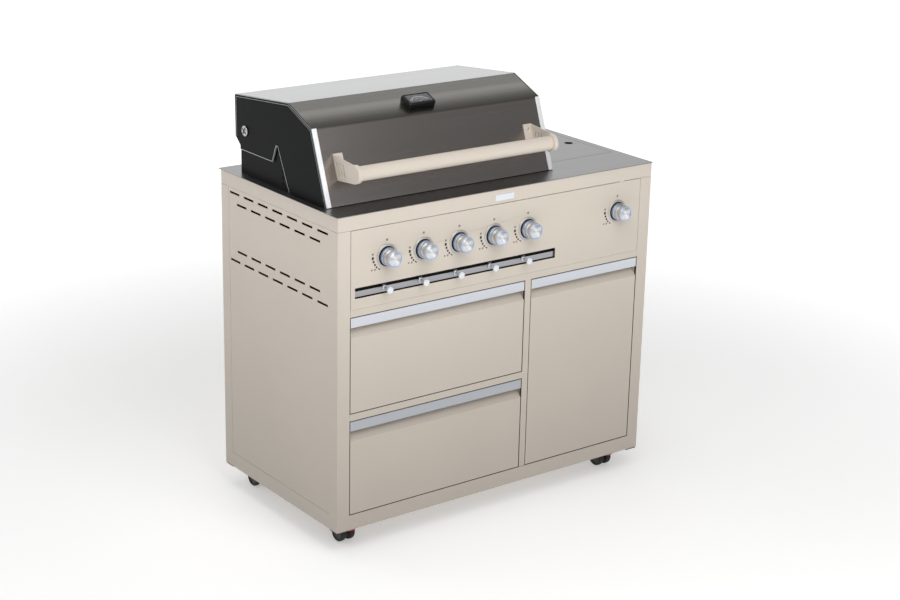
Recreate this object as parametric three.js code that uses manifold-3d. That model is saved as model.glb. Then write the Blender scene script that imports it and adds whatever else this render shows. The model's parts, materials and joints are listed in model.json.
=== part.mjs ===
// A gas barbecue on a cart: five burners under a hinged hood, a side burner under a flush lid,
// two drawers, a gas bottle cupboard and four twin-wheel casters. Millimetres, +Z up.
// Inside the grill group X runs right from the cart's left side, Y runs back from its front face
// and Z runs up from the underside of its base. The group then puts the origin on the floor,
// under the middle of the whole object.
import * as THREE from 'three';
import { mergeVertices } from 'three/addons/utils/BufferGeometryUtils.js';
import Module from 'manifold-3d';

const wasm = await Module();
wasm.setup();

// Cart
const bodyWidth = 1039;
const bodyDepth = 566.5;
const bodyHeight = 850;
const tube = 38.5;
const tubeWall = 1.5;
const apronHeight = 38;
const baseRail = 42;
const sheet = 1.2;
const fit = 0.3;
const panelInset = 0.5;
const panelHeight = 208;
const panelSheet = 2;
const panelGap = 1.2;
const frontRail = 20;
const dividerTube = 22;
const lowerBay = 261.5;
const cupboardWidth = 378.5;
const cornerPlate = 74;
const cornerPlateSheet = 4;
const cornerPlateLift = 0.5;

// Worktop
const topSheet = 1.5;
const topSideOverhang = 3;
const topFrontOverhang = 2;
const topBackOverhang = 9.5;

// Side vents
const ventLength = 49;
const ventHeight = 6;
const ventPitch = 71.3;
// Drop of each row below the apron, and how many slots fewer than a full row it has
const ventRows = [[14, 0], [42, 1], [172.5, 1], [201.5, 0]];

// Control panel
const burnerCount = 5;
const knobDrop = 82;
const knobFirst = 148;
const knobPitch = 113.6;
const sideKnobFromRight = 122;
const knobRadius = 21.25;
const knobReach = 38;
const knobFoot = 8;
const stemRadius = 4;
const shaftHoleRadius = 6;
const slotMargin = 13.5;
const slotLength = 649.5;
const slotRise = 28;
const slotHeight = 28;
const railInset = 5;
const railSheet = 2;
const railHeight = 14.5;
const railRise = 3;
const railTab = 8;
const hookMargin = 91.5;
const hookPitch = 112.6;
const hookHeadRadius = 9;
const hookStemRadius = 4;
const hookStemRise = 14;
const hookReach = 25;

// Hood, with heights above the worktop
const hoodOverPost = 18;
const hoodRightMargin = 289.5;
const hoodFront = 80.5;
const hoodBackMargin = 45;
const hoodSheet = 2;
const hoodLift = 1.5;
const hoodBendRun = 70;
const hoodBendRise = 189.8;
const hoodCrownRun = 178.3;
const hoodCrownRise = 235;
const hoodBackRise = 209.5;
const hoodTailRise = 96.5;
const hingeFromBack = 52.5;
const hingeRise = 120.5;
const hingePinRadius = 5;
const hingeHeadRadius = 14;

// Handle
const handleRadius = 19;
const handleReach = 49.5;
const handleRise = 92.5;
const bracketInset = 46;
const bracketWidth = 28;
const bracketHead = 12;
const bracketHeadRadius = 24;
const bracketSheet = 3;

// Thermometer
const thermoWidth = 84;
const thermoLength = 44.5;
const thermoHeight = 15;
const thermoFromLeft = 355;
const thermoFromCrown = 70.7;

// Firebox
const fireInset = 23.5;
const fireFrontGap = 19.5;
const fireBackGap = 22;
const fireDepth = 165;
const fireRise = 31;
const fireSheet = 2;
const fireLedge = 12;
const grateHeight = 13;
const barWidth = 7;
const barPitch = 21;
const burnerRadius = 12.5;
const burnerDrop = 77;

// Side burner
const lidFromRight = 21.5;
const lidWidth = 252.5;
const lidFront = 147;
const lidBackMargin = 129.5;
const lidSheet = 1.2;
const fingerHoleRadius = 12.5;
const fingerHoleFromEdge = 33.5;
const wellDepth = 50;
const wellInset = 12;
const wellFlange = 6;
const supportGap = 25.6;

// Fronts of the drawers and the door
const frontDepth = 20.5;
const frontSheet = 1.5;
const frontGap = 1.3;
const gripHeight = 26;
const gripSheet = 2.5;
const fingerGap = 27;
const scoopRise = 20;
const scoopDepth = 18.5;
const drawerSheet = 1;
const drawerBackGap = 61;
const drawerSideGap = 14;
const drawerHeadroom = 50;

// Grease tray
const trayWidth = 300;
const trayHeight = 26;
const trayDrop = 4;
const trayLip = 18;
const traySlack = 8;
const trayGripWidth = 120;

// Casters
const casterHeadroom = 14;
const casterInset = 70;
const frontWheelY = 76;
const backWheelGap = 60;
const wheelRadius = 25;
const wheelWidth = 16;
const wheelGap = 12;
const casterTrail = 16;
const kingpinRadius = 5;
const kingpinDepth = 9;
const webFront = 10.5;
const axleRadius = 4;
const forkWidth = 9;
const pedalLength = 29;
const pedalGap = 3;

const paint = { color: 0xcfc6b8, roughness: 0.55, metalness: 0.1 };
const steel = { color: 0xa9a9ab, roughness: 0.35, metalness: 0.9 };
const darkSteel = { color: 0x5e5954, roughness: 0.4, metalness: 0.8 };
const black = { color: 0x202123, roughness: 0.5, metalness: 0.3 };
const iron = { color: 0x2a2a2a, roughness: 0.8, metalness: 0.4 };
const aluminium = { color: 0xbfc4cb, roughness: 0.35, metalness: 0.9 };
const chrome = { color: 0xd8dadd, roughness: 0.12, metalness: 1.0 };
const brass = { color: 0xb08d4c, roughness: 0.4, metalness: 0.9 };
const rubber = { color: 0x151515, roughness: 0.8, metalness: 0.0 };
const red = { color: 0xb3161b, roughness: 0.45, metalness: 0.0 };

// Solids
function solidOf(geometry) {
  geometry.deleteAttribute('normal');
  geometry.deleteAttribute('uv');
  const welded = mergeVertices(geometry, 1e-4);
  const mesh = new wasm.Mesh({
    numProp: 3,
    vertProperties: new Float32Array(welded.attributes.position.array),
    triVerts: new Uint32Array(welded.index.array),
  });
  return new wasm.Manifold(mesh);
}

function geometryOf(solid) {
  const mesh = solid.getMesh();
  const geometry = new THREE.BufferGeometry();
  geometry.setAttribute('position', new THREE.BufferAttribute(mesh.vertProperties, 3));
  geometry.setIndex(new THREE.BufferAttribute(mesh.triVerts, 1));
  geometry.computeVertexNormals();
  return geometry;
}

function block([x0, x1], [y0, y1], [z0, z1]) {
  const geometry = new THREE.BoxGeometry(x1 - x0, y1 - y0, z1 - z0);
  return solidOf(geometry.translate((x0 + x1) / 2, (y0 + y1) / 2, (z0 + z1) / 2));
}

function extruded(outline, depth, right, up, out, start) {
  const shape = new THREE.Shape(outline.map(([a, b]) => new THREE.Vector2(a, b)));
  const geometry = new THREE.ExtrudeGeometry(shape, { depth, bevelEnabled: false });
  const turn = new THREE.Matrix4().makeBasis(right, up, out);
  return solidOf(geometry.applyMatrix4(turn.setPosition(start)));
}

const axisX = new THREE.Vector3(1, 0, 0);
const axisY = new THREE.Vector3(0, 1, 0);
const axisZ = new THREE.Vector3(0, 0, 1);

// A [y, z] outline carried along X
function alongX(outline, [x0, x1]) {
  return extruded(outline, x1 - x0, axisY, axisZ, axisX, new THREE.Vector3(x0, 0, 0));
}

// An [x, z] outline carried along Y
function alongY(outline, [y0, y1]) {
  return extruded(outline, y1 - y0, axisX, axisZ, axisY.clone().negate(), new THREE.Vector3(0, y1, 0));
}

function rod(radius, length, segments = 16) {
  return new THREE.CylinderGeometry(radius, radius, length, segments);
}

function rodX(radius, [x0, x1], y, z, segments) {
  return solidOf(rod(radius, x1 - x0, segments).rotateZ(Math.PI / 2).translate((x0 + x1) / 2, y, z));
}

function rodY(radius, x, [y0, y1], z, segments) {
  return solidOf(rod(radius, y1 - y0, segments).translate(x, (y0 + y1) / 2, z));
}

function rodZ(radius, x, y, [z0, z1], segments) {
  return solidOf(rod(radius, z1 - z0, segments).rotateX(Math.PI / 2).translate(x, y, (z0 + z1) / 2));
}

// A profile of [radius, y] pairs, listed from low y to high y, turned about Y
function turned(profile, segments) {
  const points = profile.map(([radius, y]) => new THREE.Vector2(radius, y));
  return solidOf(new THREE.LatheGeometry(points, segments));
}

function joined(solids) {
  return solids.reduce((whole, solid) => whole.add(solid));
}

function cutBy(solid, tools) {
  return tools.reduce((rest, tool) => rest.subtract(tool), solid);
}

function addPart(group, name, solid, look) {
  const mesh = new THREE.Mesh(geometryOf(solid), new THREE.MeshStandardMaterial(look));
  mesh.name = name;
  group.add(mesh);
  return mesh;
}

function groupAt(parent, x, y, z) {
  const group = new THREE.Group();
  group.position.set(x, y, z);
  parent.add(group);
  return group;
}

// The span from a to b on the side of zero that side points to
function spanOn(side, a, b) {
  return side > 0 ? [a, b] : [-b, -a];
}

// Levels and places that follow from the driving sizes
const apronZ = bodyHeight - apronHeight;
const panelZ = apronZ - panelHeight;
const railZ = panelZ - frontRail;
const dividerZ = baseRail + lowerBay;
const worktopZ = bodyHeight + topSheet;
const postRight = bodyWidth - tube;
const dividerX = postRight - cupboardWidth - dividerTube;
const cupboardX = dividerX + dividerTube;
const bottomZ = baseRail + sheet + 2 * fit;
const insideBack = bodyDepth - tube;
const ventCount = Math.floor((insideBack - tube - ventLength) / ventPitch) + 1;
const knobZ = apronZ - knobDrop;
const knobXs = Array.from({ length: burnerCount }, (_, i) => knobFirst + i * knobPitch);
const sideKnobX = bodyWidth - sideKnobFromRight;
const slotZ = panelZ + slotRise;
const slotLeft = tube + slotMargin;
const hoodLeft = tube - hoodOverPost;
const hoodRight = bodyWidth - hoodRightMargin;
const hoodMiddle = (hoodLeft + hoodRight) / 2;
const hoodHalf = (hoodRight - hoodLeft) / 2;
const hoodBack = bodyDepth - hoodBackMargin;
const hingeY = hoodBack - hingeFromBack;
const hingeZ = worktopZ + hingeRise;
const fireLeft = hoodLeft + fireInset;
const fireRight = hoodRight - fireInset;
const fireFront = hoodFront + fireFrontGap;
const fireBack = hoodBack - fireBackGap;
const fireTop = worktopZ + fireRise;
const fireBottom = worktopZ - fireDepth;
const fireMiddle = (fireLeft + fireRight) / 2;
const trayZ = fireBottom - trayDrop - trayHeight;
const trayFront = fireFront + 60;
const lidRight = bodyWidth - lidFromRight;
const lidLeft = lidRight - lidWidth;
const lidBack = bodyDepth - lidBackMargin;
const wellX = [lidLeft + wellInset, postRight - fit];
const wellY = [lidFront + wellInset, lidBack - wellInset];
const wellFloor = bodyHeight - wellDepth;
const casterHeight = 2 * wheelRadius + casterHeadroom;

// Four hollow posts on a ring of base rails, with a corner plate and a kingpin for each caster
function cartFrame() {
  const w = tubeWall;
  const top = apronZ - fit;
  const above = [baseRail, top + 1];
  const past = 1;
  const tools = [
    block([tube, postRight], [-past, bodyDepth + past], above),
    block([-past, bodyWidth + past], [tube, insideBack], above),
    block([tube, postRight], [tube, insideBack], [-past, baseRail + past]),
  ];
  for (const x of [0, postRight]) {
    for (const y of [0, insideBack]) {
      tools.push(block([x + w, x + tube - w], [y + w, y + tube - w], [baseRail - w - past, top + past]));
    }
  }
  const rails = block([w, bodyWidth - w], [w, bodyDepth - w], [-past, baseRail - w]);
  const middle = block([tube - w, postRight + w], [tube - w, insideBack + w], [-2 * past, baseRail]);
  tools.push(rails.subtract(middle));
  const plates = kingpins.map(({ x, y }) => {
    const left = x < bodyWidth / 2;
    const front = y < bodyDepth / 2;
    const reach = tube + cornerPlate;
    const plateX = left ? [w / 2, reach] : [bodyWidth - reach, bodyWidth - w / 2];
    const plateY = front ? [tube - w / 2, reach] : [bodyDepth - reach, insideBack + w / 2];
    const pin = rodZ(kingpinRadius, x, y, [-kingpinDepth, cornerPlateSheet / 2], 12);
    return block(plateX, plateY, [cornerPlateLift, cornerPlateLift + cornerPlateSheet]).add(pin);
  });
  return joined([cutBy(block([0, bodyWidth], [0, bodyDepth], [0, top]), tools), ...plates]);
}

// The apron that carries the worktop: a ring of rails, hollow from below, with a cross rail between
// firebox and side burner
function topFrame() {
  const w = tubeWall;
  const crossRight = lidLeft - wellFlange - 1;
  const bays = [[tube, crossRight - dividerTube], [crossRight, postRight]];
  const ring = block([0, bodyWidth], [0, bodyDepth], [apronZ, bodyHeight]);
  const hollow = block([w, bodyWidth - w], [w, bodyDepth - w], [apronZ - 1, bodyHeight - w]);
  const openings = bays.map((bay) => block(bay, [tube, insideBack], [apronZ - 1, bodyHeight + 1]));
  const cores = bays.map(
    ([x0, x1]) => block([x0 - w, x1 + w], [tube - w, insideBack + w], [apronZ - 2, bodyHeight]),
  );
  return cutBy(ring, [...openings, cutBy(hollow, cores)]);
}

// Front rail under the control panel, post between drawers and door, rail between the drawers,
// all hollow behind, and the partition wall behind the post
function centreFrame() {
  const outline = (w) => {
    const [left, right] = [tube + fit + w, postRight - fit - w];
    const [postX0, postX1] = [dividerX + w, cupboardX - w];
    const [midLow, midHigh] = [dividerZ + w, dividerZ + dividerTube - w];
    const [railLow, railHigh] = [railZ + w, panelZ - fit - w];
    return [
      [left, railHigh], [left, railLow], [postX0, railLow], [postX0, midHigh], [left, midHigh],
      [left, midLow], [postX0, midLow], [postX0, bottomZ + w], [postX1, bottomZ + w], [postX1, railLow],
      [right, railLow], [right, railHigh],
    ];
  };
  const face = alongY(outline(0), [0, dividerTube]);
  const channel = alongY(outline(tubeWall), [tubeWall, dividerTube + 1]);
  const wallX = dividerX + dividerTube / 2;
  const wall = block([wallX, wallX + sheet], [tubeWall / 2, insideBack - fit], [bottomZ + fit, railZ + fit]);
  return face.subtract(channel).add(wall);
}

function sidePanel(side) {
  const [x0, x1] = spanOn(side, bodyWidth / 2 - panelInset - sheet, bodyWidth / 2 - panelInset);
  const xs = [x0 + bodyWidth / 2, x1 + bodyWidth / 2];
  const panel = block(xs, [tube + fit, insideBack - fit], [baseRail + fit, apronZ - fit]);
  const slots = [];
  for (const [drop, fewer] of ventRows) {
    const count = ventCount - fewer;
    for (let i = 0; i < count; i++) {
      const y = bodyDepth / 2 + (i - (count - 1) / 2) * ventPitch;
      const ys = [y - ventLength / 2, y + ventLength / 2];
      const z = apronZ - drop;
      slots.push(block([xs[0] - 1, xs[1] + 1], ys, [z - ventHeight / 2, z + ventHeight / 2]));
    }
  }
  return cutBy(panel, slots);
}

// The back panel, with an opening that the grease tray slides through
function backPanel() {
  const ys = [bodyDepth - panelInset - sheet, bodyDepth - panelInset];
  const panel = block([tube + fit, postRight - fit], ys, [baseRail + fit, apronZ - fit]);
  const reach = trayWidth / 2 + traySlack;
  const opening = block(
    [fireMiddle - reach, fireMiddle + reach], [ys[0] - 1, ys[1] + 1],
    [trayZ - traySlack, trayZ + trayHeight + traySlack],
  );
  return panel.subtract(opening);
}

function floorPanel() {
  const ys = [1, bodyDepth - panelInset - sheet - fit];
  return block([tube + fit, postRight - fit], ys, [baseRail + fit, baseRail + fit + sheet]);
}

function controlPanel() {
  const panel = block([tube + panelGap, postRight - panelGap], [0, panelSheet], [panelZ, apronZ - panelGap]);
  const through = [-1, panelSheet + 1];
  const holes = [...knobXs, sideKnobX].map((x) => rodY(shaftHoleRadius, x, through, knobZ, 12));
  const slot = block([slotLeft, slotLeft + slotLength], through, [slotZ, slotZ + slotHeight]);
  return cutBy(panel, [...holes, slot]);
}

// The tool rail behind the slot, its ends turned forward to the back of the panel
function hookRail() {
  const xs = [slotLeft - railTab, slotLeft + slotLength + railTab];
  const zs = [slotZ + railRise, slotZ + railRise + railHeight];
  const ys = [railInset, railInset + railSheet];
  const foot = [panelSheet + fit, railInset + railSheet];
  return joined([
    block(xs, ys, zs),
    block([xs[0], xs[0] + railTab - 2], foot, zs),
    block([xs[1] - railTab + 2, xs[1]], foot, zs),
  ]);
}

// A tool hook: a disc-headed peg on a clip that hangs over the rail and slides along it
function toolHook() {
  const top = railRise + railHeight;
  const clipX = [-5, 5];
  const front = [railInset - fit - 1.5, railInset - fit];
  const back = [railInset + railSheet + fit, railInset + railSheet + fit + 1.5];
  return joined([
    rodY(hookHeadRadius, 0, [-hookReach, -hookReach + 3], hookStemRise, 20),
    rodY(hookStemRadius, 0, [-hookReach + 1, front[1]], hookStemRise, 10),
    block(clipX, front, [railRise + 2, top + 2]),
    block(clipX, [front[0], back[1]], [top + fit, top + 2]),
    block(clipX, back, [hookStemRise - 2, top + 2]),
  ]);
}

function worktop() {
  const xs = [-topSideOverhang, bodyWidth + topSideOverhang];
  const ys = [-topFrontOverhang, bodyDepth + topBackOverhang];
  const plate = block(xs, ys, [bodyHeight + fit / 2, worktopZ]);
  const through = [bodyHeight - 1, worktopZ + 1];
  const slack = 1;
  return cutBy(plate, [
    block([fireLeft - slack, fireRight + slack], [fireFront - slack, fireBack + slack], through),
    block([lidLeft - slack, lidRight + slack], [lidFront - slack, lidBack + slack], through),
  ]);
}

// The firebox tub: a ledge for the grates round its mouth, a fall to a drain slot in the floor
// and two turned-in rails below that carry the grease tray
function fireboxPan() {
  const slope = 50;
  const middleY = (fireFront + fireBack) / 2;
  const drain = [middleY - 45, middleY + 45];
  const s = fireSheet;
  const outer = [
    [fireFront, fireTop], [fireFront, fireBottom + slope], [drain[0], fireBottom],
    [drain[1], fireBottom], [fireBack, fireBottom + slope], [fireBack, fireTop],
  ];
  const inner = [
    [fireFront + s, fireTop - s], [fireFront + s, fireBottom + slope + s], [drain[0] + 4, fireBottom + s],
    [drain[1] - 4, fireBottom + s], [fireBack - s, fireBottom + slope + s], [fireBack - s, fireTop - s],
  ];
  const mouthX = [fireLeft + fireLedge, fireRight - fireLedge];
  const mouthY = [fireFront + fireLedge, fireBack - fireLedge];
  const drainX = [fireMiddle - trayWidth / 2 + 60, fireMiddle + trayWidth / 2 - 60];
  const tools = [
    alongX(inner, [fireLeft + s, fireRight - s]),
    block(mouthX, mouthY, [fireTop - s - 1, fireTop + 1]),
    block(drainX, [drain[0] + 20, drain[1] - 20], [fireBottom - 1, fireBottom + s + 1]),
  ];
  for (const x of burnerXs) {
    tools.push(rodY(burnerRadius + 0.6, x, [fireFront - 1, fireFront + s + 1], burnerZ, 12));
  }
  const tub = [alongX(outer, [fireLeft, fireRight])];
  for (const side of [-1, 1]) {
    const web = spanOn(side, trayWidth / 2 + fit, trayWidth / 2 + fit + s);
    const foot = spanOn(side, trayWidth / 2 - 8, trayWidth / 2 + fit + s);
    const run = [trayFront, fireBack];
    tub.push(block([fireMiddle + web[0], fireMiddle + web[1]], run, [trayZ - s, fireBottom + slope]));
    tub.push(block([fireMiddle + foot[0], fireMiddle + foot[1]], run, [trayZ - fit - s, trayZ - fit]));
  }
  return cutBy(joined(tub), tools);
}

// A plate that stands on the worktop and ends in an ear round the hood's hinge pin
function fireboxSide(side) {
  const low = worktopZ + fit;
  const rim = worktopZ + 63;
  const shoulder = worktopZ + 124;
  const outline = [
    [fireFront + 12, low], [fireBack, low], [fireBack, rim], [hingeY - 34, rim], [hingeY - 12, hingeZ - 22],
    [hingeY + 12, hingeZ - 18], [hingeY + 22, hingeZ], [hingeY + 15, hingeZ + 15], [hingeY, hingeZ + 21],
    [hingeY - 15, hingeZ + 15], [hingeY - 85, shoulder], [hingeY - 175, shoulder], [hingeY - 230, rim],
    [fireFront + 26, rim],
  ];
  const xs = spanOn(side, hoodHalf - hoodSheet - 1.5 - fireSheet, hoodHalf - hoodSheet - 1.5);
  const through = [xs[0] - 1, xs[1] + 1];
  const slots = [0, 1, 2, 3].map((i) => {
    const z = worktopZ + 11 + i * 16;
    return block(through, [hingeY - 180, hingeY - 176], [z, z + 10]);
  });
  return cutBy(alongX(outline, xs), [rodX(hingePinRadius + fit, through, hingeY, hingeZ), ...slots]);
}

// A shouldered pin with a domed head outside the hood
function hingePin(side) {
  const shank = spanOn(side, hoodHalf - hoodSheet - 1.5 - fireSheet - 6, hoodHalf + 2);
  const head = spanOn(side, hoodHalf + 0.5, hoodHalf + 4.5);
  return joined([
    rodX(hingePinRadius, shank, hingeY, hingeZ),
    rodX(hingeHeadRadius, head, hingeY, hingeZ, 20),
  ]);
}

// Five burner tubes joined by a crossover channel
function burnerBank() {
  const back = fireBack - fireSheet - 22;
  const front = fireFront - 24;
  const tubes = burnerXs.map((x) => rodY(burnerRadius, x, [front, back], burnerZ, 12));
  const bores = burnerXs.map((x) => rodY(burnerRadius - sheet, x, [front - 1, back - sheet], burnerZ, 12));
  const span = [burnerXs[0] - 8, burnerXs[burnerCount - 1] + 8];
  const crossover = block(span, [back - 50, back - 36], [burnerZ - 4, burnerZ + 4]);
  return cutBy(joined([crossover, ...tubes]), bores);
}

// A cast grate: bars along Y on a cross bar at each end
function grate(x0, x1) {
  const ys = [fireFront + 5, fireBack - 5];
  const zs = [fireTop + fit, fireTop + fit + grateHeight];
  const ends = [[ys[0], ys[0] + barWidth + 2], [ys[1] - barWidth - 2, ys[1]]];
  const count = Math.floor((x1 - x0 - barWidth) / barPitch);
  const pitch = (x1 - x0 - barWidth) / count;
  const bars = ends.map((end) => block([x0, x1], end, [zs[0], zs[1] - 3]));
  for (let i = 0; i <= count; i++) {
    const x = x0 + i * pitch;
    bars.push(block([x, x + barWidth], ys, [zs[0], zs[1]]));
  }
  return joined(bars);
}

// An open tub below the lid, its flange under the worktop
function sideBurnerPan() {
  const flangeZ = [bodyHeight - sheet - fit / 2, bodyHeight - fit / 2];
  const flange = block([lidLeft - wellFlange, wellX[1]], [lidFront - 10, lidBack + 10], flangeZ);
  const tub = block(wellX, wellY, [wellFloor, flangeZ[1]]);
  const hollow = block(
    [wellX[0] + sheet, wellX[1] - sheet], [wellY[0] + sheet, wellY[1] - sheet],
    [wellFloor + sheet, bodyHeight],
  );
  return flange.add(tub).subtract(hollow);
}

const wellMiddle = [(lidLeft + postRight) / 2, (lidFront + lidBack) / 2];
const wellFoot = wellFloor + sheet + fit;

// A burner head on its mixing cup
function sideBurner() {
  const [x, y] = wellMiddle;
  return joined([
    rodZ(24, x, y, [wellFoot, wellFoot + 16], 20),
    rodZ(40, x, y, [wellFoot + 14, wellFoot + 26], 24),
    rodZ(28, x, y, [wellFoot + 25, wellFoot + 31], 20),
  ]);
}

// A square ring on four feet with four arms that point at the burner
function potSupport() {
  const [x, y] = wellMiddle;
  const top = bodyHeight - 4;
  const half = Math.min(wellX[1] - wellX[0], wellY[1] - wellY[0]) / 2 - supportGap;
  const bar = 6;
  const level = [top - bar, top];
  const leg = [wellFoot, top - 1];
  const ring = [];
  for (const side of [-1, 1]) {
    const edge = spanOn(side, half - bar, half);
    const arm = spanOn(side, 30, half - 1);
    const edgeX = [x + edge[0], x + edge[1]];
    ring.push(block(edgeX, [y - half, y + half], level));
    ring.push(block([x - half, x + half], [y + edge[0], y + edge[1]], level));
    ring.push(block([x + arm[0], x + arm[1]], [y - bar / 2, y + bar / 2], level));
    ring.push(block([x - bar / 2, x + bar / 2], [y + arm[0], y + arm[1]], level));
    ring.push(block(edgeX, [y - half, y - half + bar], leg));
    ring.push(block(edgeX, [y + half - bar, y + half], leg));
  }
  return joined(ring);
}

// The gas rail with a valve and a stem for each knob, and a jet for each main burner
function gasManifold() {
  const railY = 58;
  const pieces = [rodX(9, [knobFirst - 40, sideKnobX + 40], railY, knobZ, 12)];
  for (const x of [...knobXs, sideKnobX]) {
    pieces.push(block([x - 11, x + 11], [30, railY + 6], [knobZ - 12, knobZ + 12]));
    pieces.push(rodY(stemRadius, x, [-knobReach + 16, 32], knobZ, 12));
  }
  for (const x of knobXs) {
    pieces.push(block([x - 8, x + 8], [railY - 8, railY + 6], [knobZ, burnerZ + 8]));
  }
  return joined(pieces);
}

// A tray that hangs on two turned-in rails under the drain and slides out at the back
function greaseTray() {
  const xs = [fireMiddle - trayWidth / 2, fireMiddle + trayWidth / 2];
  const ys = [trayFront, bodyDepth + 4];
  const zs = [trayZ, trayZ + trayHeight];
  const gripX = [fireMiddle - trayGripWidth / 2, fireMiddle + trayGripWidth / 2];
  const tub = block(xs, [ys[0], fireBack], zs);
  const hollow = block(
    [xs[0] + sheet, xs[1] - sheet], [ys[0] + sheet, fireBack - sheet], [zs[0] + sheet, zs[1] + 1],
  );
  const grip = block(gripX, [fireBack - 1, ys[1]], [zs[1] - sheet, zs[1]]);
  const turndown = block(gripX, [ys[1] - sheet, ys[1]], [zs[1] - trayLip, zs[1]]);
  return joined([tub.subtract(hollow), grip, turndown]);
}

// The lid of the side burner, with a finger hole near its free edge
function sideLid() {
  const plate = block([lidLeft, lidRight], [lidFront, lidBack], [worktopZ - lidSheet, worktopZ]);
  const x = lidRight - fingerHoleFromEdge;
  const y = (lidFront + lidBack) / 2;
  return plate.subtract(rodZ(fingerHoleRadius, x, y, [bodyHeight - 5, bodyHeight + 5], 20));
}

// A knob turned from solid: a flared foot, a waist and a flat face, bored for the valve stem
function controlKnob() {
  const profile = [
    [0, -knobReach], [knobRadius - 1.5, -knobReach], [knobRadius, -knobReach + 1.5],
    [knobRadius - 1, -knobReach / 2 - 4], [knobRadius - 3, -knobFoot - 3],
    [knobRadius + 1, -knobFoot], [0, -knobFoot],
  ];
  const bore = rodY(stemRadius + 0.5, 0, [-knobReach + 15, 0], 0, 12);
  const hollow = rodY(knobRadius - 6, 0, [-knobReach + 4, 0], 0, 16);
  const hub = rodY(stemRadius + 3, 0, [-knobReach, 1], 0, 12);
  return cutBy(turned(profile, 28), [hollow.subtract(hub), bore]);
}

// Hood outline as [y, z], from the front lower edge over the crown to the tail
const hoodOutline = [
  [hoodFront, worktopZ + hoodLift],
  [hoodFront + hoodBendRun, worktopZ + hoodBendRise],
  [hoodFront + hoodCrownRun, worktopZ + hoodCrownRise],
  [hoodBack, worktopZ + hoodBackRise],
  [hoodBack - 1.4, worktopZ + hoodTailRise],
];

// The outline moved inwards by a distance, with its corners on the bisectors
function insetOutline(outline, distance) {
  const normals = outline.slice(1).map(([y, z], i) => {
    const run = y - outline[i][0];
    const rise = z - outline[i][1];
    const length = Math.hypot(run, rise);
    return [rise / length, -run / length];
  });
  return outline.map(([y, z], i) => {
    const before = normals[Math.max(i - 1, 0)];
    const after = normals[Math.min(i, normals.length - 1)];
    const sum = [before[0] + after[0], before[1] + after[1]];
    const scale = distance / (1 + before[0] * after[0] + before[1] * after[1]);
    return [y + sum[0] * scale, z + sum[1] * scale];
  });
}

function hoodShell() {
  const skin = [...hoodOutline, ...insetOutline(hoodOutline, hoodSheet).reverse()];
  return alongX(skin, [-hoodHalf + hoodSheet + fit, hoodHalf - hoodSheet - fit]);
}

// An end plate of the hood, notched at its lower edge to clear the firebox side
function hoodEnd(side) {
  const legY = hingeY - 159;
  const outline = [
    ...hoodOutline,
    [hoodBack - 24.4, worktopZ + 76.5], [hoodBack - 24.4, worktopZ + 66], [legY + 28, worktopZ + 66],
    [legY + 8.5, worktopZ + 111.5], [legY, worktopZ + 111.5], [legY - 54, worktopZ + hoodLift],
  ];
  const xs = spanOn(side, hoodHalf - hoodSheet, hoodHalf);
  const through = [xs[0] - 1, xs[1] + 1];
  return alongX(outline, xs).subtract(rodX(hingePinRadius + 0.6, through, hingeY, hingeZ));
}

const handleY = hoodFront - handleReach;
const handleZ = worktopZ + handleRise;
const bracketOuter = hoodHalf - bracketInset;

function handleTube() {
  const end = bracketOuter - bracketSheet - fit;
  const bore = rodX(handleRadius - tubeWall, [-end - 1, end + 1], handleY, handleZ, 24);
  return rodX(handleRadius, [-end, end], handleY, handleZ, 24).subtract(bore);
}

// A point on the hood's front face at a height above the worktop, stood off by a distance
function onHoodFront(rise, standOff) {
  const [foot, bend] = hoodOutline;
  const run = bend[0] - foot[0];
  const climb = bend[1] - foot[1];
  const length = Math.hypot(run, climb);
  const share = (worktopZ + rise - foot[1]) / climb;
  return [foot[0] + run * share - (climb / length) * standOff, worktopZ + rise + (run / length) * standOff];
}

// A slotted arm with a flange on the hood and a cup round the end of the handle tube
function handleBracket(side) {
  const [low, high] = [62, 125];
  const arm = [
    onHoodFront(low, fit), onHoodFront(high, fit), [handleY - 4, handleZ + bracketHeadRadius - 0.6],
    [handleY - 4, handleZ - bracketHeadRadius + 0.6],
  ];
  const flange = [
    onHoodFront(low, fit), onHoodFront(high, fit),
    onHoodFront(high, bracketSheet), onHoodFront(low, bracketSheet),
  ];
  const armX = spanOn(side, bracketOuter - bracketSheet, bracketOuter);
  const flangeX = spanOn(side, bracketOuter - bracketWidth, bracketOuter);
  const headX = spanOn(side, bracketOuter - bracketHead, bracketOuter);
  const socketX = spanOn(side, bracketOuter - bracketHead - 1, bracketOuter - bracketSheet);
  const slots = [0, 1, 2].map((i) => {
    const y = handleY + 34 + i * 13;
    const z = handleZ - 16;
    const outline = [[y, z], [y + 5, z], [y + 16, z + 32], [y + 11, z + 32]];
    return alongX(outline, [armX[0] - 1, armX[1] + 1]);
  });
  const bracket = joined([
    alongX(arm, armX), alongX(flange, flangeX), rodX(bracketHeadRadius, headX, handleY, handleZ, 24),
  ]);
  return cutBy(bracket, [rodX(handleRadius + fit, socketX, handleY, handleZ, 24), ...slots]);
}

// A housing with chamfered top edges
function thermometer() {
  const bevel = 3;
  const half = thermoLength / 2;
  const outline = [
    [-half, fit], [half, fit], [half, thermoHeight - bevel], [half - bevel, thermoHeight],
    [-half + bevel, thermoHeight], [-half, thermoHeight - bevel],
  ];
  return alongX(outline, [-thermoWidth / 2, thermoWidth / 2]);
}

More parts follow.
